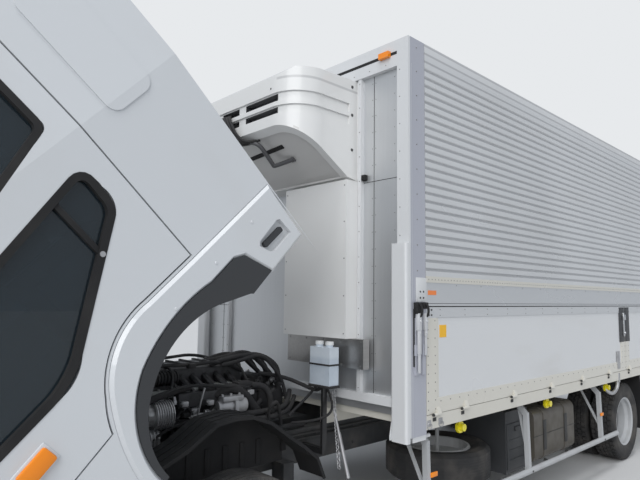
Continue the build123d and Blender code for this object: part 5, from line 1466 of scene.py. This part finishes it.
class TRUCK_OT_chassis_fittings(bpy.types.Operator):
    """Add tank, box and guard details under the load floor"""

    bl_idname = "truck.chassis_fittings"
    bl_label = "Fittings of the chassis"

    def execute(self, context):
        with new_piece("tank_details", "dark_bolt", "chassis") as shape:
            add_turned(
                shape, ((0.030, 0.0), (0.056, 0.0), (0.056, 0.018), (0.050, 0.026), (0.030, 0.026)),
                (-2.340, 1.010, 0.826), UP, 24,
            )
            add_box(shape, (-2.775, 1.128, 0.573), (-1.905, 1.1335, 0.577), 0.001)
            for x in (-2.560, -2.120):
                add_box(shape, (x - 0.028, 1.130, 0.44), (x + 0.028, 1.1385, 0.70), 0.002)
                add_drum(shape, (x, 1.120, 0.352), (x, 1.150, 0.352), 0.012, 0.010, 6)

        with new_piece("box_doors", "dark_plastic", "chassis") as shape:
            # columns: rear X, front X, side, how far out the face lies, bottom Z, top Z
            for rear, front, side, face, low, high in (
                (-1.89, -1.51, 1, 1.080, 0.330, 0.830),
                (-1.90, -1.10, -1, 1.080, 0.330, 0.800),
                (-3.10, -2.10, -1, 1.000, 0.380, 0.800),
            ):
                add_slab(
                    shape, side, (rear + 0.02, face - 0.002, low + 0.03), (front - 0.02, face + 0.008, high - 0.10),
                    0.004,
                )
                middle = (rear + front) / 2
                add_slab(
                    shape, side, (middle - 0.05, face + 0.006, high - 0.17), (middle + 0.05, face + 0.022, high - 0.13),
                    0.005,
                )
                for z in steps_between(low + 0.10, high - 0.24, 0.07):
                    add_slab(
                        shape, side, (rear + 0.05, face + 0.006, z), (front - 0.05, face + 0.012, z + 0.012), 0.002
                    )

        with new_piece("guard_reflectors", "amber_plastic", "chassis") as shape:
            for side in (1, -1):
                for x in (-0.30, -3.25):
                    add_slab(shape, side, (x - 0.035, 1.210, 0.595), (x + 0.035, 1.222, 0.625), 0.003)

        with new_piece("guard_caps", "dark_bolt", "chassis") as shape:
            for side in (1, -1):
                for x, out in ((-3.650, -0.012), (-0.215, 0.012)):
                    add_drum(shape, (x, side * 1.215, 0.365), (x + out, side * 1.215, 0.365), 0.024, 0.018, 20)
                for x in (-0.250, -1.660, -3.250):
                    add_drum(shape, (x, side * 1.225, 0.365), (x, side * 1.243, 0.365), 0.010, 0.008, 6)

        with new_piece("rail_bolts", "dark_bolt", "chassis") as shape:
            for y, z in ((0.447, 0.80), (0.447, 0.77), (-0.447, 0.79)):
                add_hose(shape, [(0.9, y, z), (-0.5, y, z + 0.005), (-2.0, y, z - 0.004), (-3.4, y, z)], 0.007)
            for side in (1, -1):
                for x in steps_between(-6.2, 1.6, 0.39):
                    for z in (0.66, 0.79):
                        add_drum(shape, (x, side * 0.4295, z), (x, side * 0.4395, z), 0.011, 0.009, 6)
        return {"FINISHED"}


class TRUCK_OT_rear_fittings(bpy.types.Operator):
    """Add the lock handles, seals, lamps and plate of the rear"""

    bl_idname = "truck.rear_fittings"
    bl_label = "Fittings of the rear"

    def execute(self, context):
        for name, side in SIDES:
            with new_piece(f"rear_handles_{name}", "lock_silver", f"rear_door_{name}") as shape:
                for y in (0.090, 0.915):
                    add_slab(shape, side, (-6.812, y - 0.012, 1.330), (-6.792, y + 0.012, 1.360), 0.003)
                    reach = 0.30 if y < 0.5 else -0.30
                    add_slab(shape, side, (-6.806, y, 1.332), (-6.794, y + reach, 1.358), 0.004)
                    add_slab(shape, side, (-6.796, y + reach * 0.86, 1.318), (-6.766, y + reach * 1.02, 1.372), 0.004)
                for z in (1.230, 2.270, 3.320):
                    for y in (0.090, 0.915):
                        for shift in (-0.038, 0.038):
                            add_rivets(shape, [(-6.765, side * (y + shift), z)], (-1, 0, 0), 0.006, 0.004)

            with new_piece(f"rear_seals_{name}", "seal", f"rear_door_{name}") as shape:
                low, high = 1.020, 3.516
                for near, far in ((0.0045, 0.022), (1.222, 1.240)):
                    add_slab(shape, side, (-6.768, near, low), (-6.764, far, high), 0.001)
                add_slab(shape, side, (-6.768, 0.0045, low), (-6.764, 1.240, low + 0.018), 0.001)
                add_slab(shape, side, (-6.768, 0.0045, high - 0.018), (-6.764, 1.240, high), 0.001)

        with new_piece("rear_red_lamps", "red_lens", "chassis") as shape:
            for side in (1, -1):
                add_slab(shape, side, (-6.688, 0.860, 0.612), (-6.676, 1.115, 0.708), 0.004)
            for y in (-0.95, 0.95):
                add_box(shape, (-6.705, y - 0.05, 3.455), (-6.697, y + 0.05, 3.495), 0.003)

        with new_piece("rear_amber_lamps", "amber_plastic", "chassis") as shape:
            for side in (1, -1):
                add_slab(shape, side, (-6.688, 0.785, 0.612), (-6.676, 0.855, 0.708), 0.004)

        with new_piece("rear_white_lamps", "white_lens", "chassis") as shape:
            for side in (1, -1):
                add_slab(shape, side, (-6.688, 0.715, 0.612), (-6.676, 0.780, 0.708), 0.004)
            add_box(shape, (-6.690, -0.220, 0.400), (-6.672, 0.220, 0.560), 0.003)
        return {"FINISHED"}


class TRUCK_OT_stage(bpy.types.Operator):
    """Set the floor, the light and the camera"""

    bl_idname = "truck.stage"
    bl_label = "Set the stage"

    camera_place = (2.875, 3.444, 1.764)
    camera_yaw = math.radians(226.60)
    camera_pitch = math.radians(5.96)
    camera_roll = math.radians(0.75)
    camera_focal_pixels = 552.5
    photo_width = 640

    def execute(self, context):
        scene = context.scene
        scene.view_settings.view_transform = "Standard"
        floor = self.floor()
        self.world(scene)
        self.lamps(scene)
        self.camera(scene)
        return {"FINISHED"}

    def floor(self):
        half = sizes().floor_half
        shape = bmesh.new()
        bmesh.ops.create_grid(shape, x_segments=1, y_segments=1, size=half)
        mesh = bpy.data.meshes.new("floor")
        shape.to_mesh(mesh)
        shape.free()
        floor = bpy.data.objects.new("floor", mesh)
        bpy.context.scene.collection.objects.link(floor)
        pale = Finish("floor_pale", (0.62, 0.62, 0.62), 0.8)
        mesh.materials.append(pale.material)
        return floor

    def world(self, scene):
        world = bpy.data.worlds.new("studio")
        scene.world = world
        world.use_nodes = True
        tree = world.node_tree
        tree.nodes.clear()
        output = tree.nodes.new("ShaderNodeOutputWorld")
        seen = tree.nodes.new("ShaderNodeBackground")
        seen.inputs["Color"].default_value = (0.80, 0.82, 0.84, 1.0)
        seen.inputs["Strength"].default_value = 1.0
        lit = tree.nodes.new("ShaderNodeBackground")
        lit.inputs["Color"].default_value = (0.86, 0.92, 1.0, 1.0)
        lit.inputs["Strength"].default_value = 0.55
        paths = tree.nodes.new("ShaderNodeLightPath")
        share = tree.nodes.new("ShaderNodeMath")
        share.operation = "MAXIMUM"
        mix = tree.nodes.new("ShaderNodeMixShader")
        tree.links.new(paths.outputs["Is Camera Ray"], share.inputs[0])
        tree.links.new(paths.outputs["Is Transmission Ray"], share.inputs[1])
        tree.links.new(share.outputs[0], mix.inputs[0])
        tree.links.new(lit.outputs[0], mix.inputs[1])
        tree.links.new(seen.outputs[0], mix.inputs[2])
        tree.links.new(mix.outputs[0], output.inputs[0])

    def lamps(self, scene):
        # columns: name, power, spread of the sun in degrees, direction the light comes from
        for name, power, spread, source in (
            ("sun_key", 0.9, 15.0, (0.8, 0.5, 3.0)),
            ("sun_fill", 1.6, 45.0, (3.0, 1.8, 1.7)),
        ):
            light = bpy.data.lights.new(name, "SUN")
            light.energy = power
            light.angle = math.radians(spread)
            lamp = bpy.data.objects.new(name, light)
            lamp.rotation_mode = "QUATERNION"
            lamp.rotation_quaternion = Vector(source).to_track_quat("Z", "Y")
            scene.collection.objects.link(lamp)

    def camera(self, scene):
        data = bpy.data.cameras.new("camera")
        data.sensor_width = 36.0
        data.lens = self.camera_focal_pixels * data.sensor_width / self.photo_width
        data.clip_start = 0.05
        data.clip_end = 500.0
        camera = bpy.data.objects.new("camera", data)
        yaw, pitch, roll = self.camera_yaw, self.camera_pitch, self.camera_roll
        ahead = Vector((math.cos(yaw) * math.cos(pitch), math.sin(yaw) * math.cos(pitch), math.sin(pitch)))
        level = Vector((math.sin(yaw), -math.cos(yaw), 0.0))
        upright = level.cross(ahead)
        right = level * math.cos(roll) + upright * math.sin(roll)
        up = upright * math.cos(roll) - level * math.sin(roll)
        turn = Matrix((right, up, -ahead)).transposed().to_4x4()
        x, y, z = self.camera_place
        camera.matrix_world = Matrix.Translation((BOX_FRONT + x, y, z)) @ turn
        scene.collection.objects.link(camera)
        scene.camera = camera


class TRUCK_PT_panel(bpy.types.Panel):
    """Lists the steps that dress the truck"""

    bl_idname = "TRUCK_PT_panel"
    bl_label = "Refrigerated truck"
    bl_space_type = "VIEW_3D"
    bl_region_type = "UI"
    bl_category = "Truck"

    def draw(self, context):
        for group in (context.scene.truck_colours, context.scene.truck_sizes):
            for key in group.__annotations__:
                self.layout.prop(group, key)
        for step in STEPS:
            self.layout.operator(step.bl_idname)


STEPS = (
    TRUCK_OT_paint_solids,
    TRUCK_OT_tyres,
    TRUCK_OT_rims,
    TRUCK_OT_window_seals,
    TRUCK_OT_cab_trim,
    TRUCK_OT_rivets,
    TRUCK_OT_box_fittings,
    TRUCK_OT_unit_fittings,
    TRUCK_OT_engine_bay,
    TRUCK_OT_wall_foot,
    TRUCK_OT_chassis_fittings,
    TRUCK_OT_rear_fittings,
    TRUCK_OT_stage,
)
CLASSES = (TruckColours, TruckSizes, *STEPS, TRUCK_PT_panel)


def register():
    for cls in CLASSES:
        bpy.utils.register_class(cls)
    bpy.types.Scene.truck_colours = bpy.props.PointerProperty(type=TruckColours)
    bpy.types.Scene.truck_sizes = bpy.props.PointerProperty(type=TruckSizes)


def unregister():
    del bpy.types.Scene.truck_sizes
    del bpy.types.Scene.truck_colours
    for cls in reversed(CLASSES):
        bpy.utils.unregister_class(cls)


def main():
    """Run every step in order."""
    register()
    for step in STEPS:
        group, name = step.bl_idname.split(".")
        getattr(getattr(bpy.ops, group), name)()


if __name__ == "__main__":
    main()
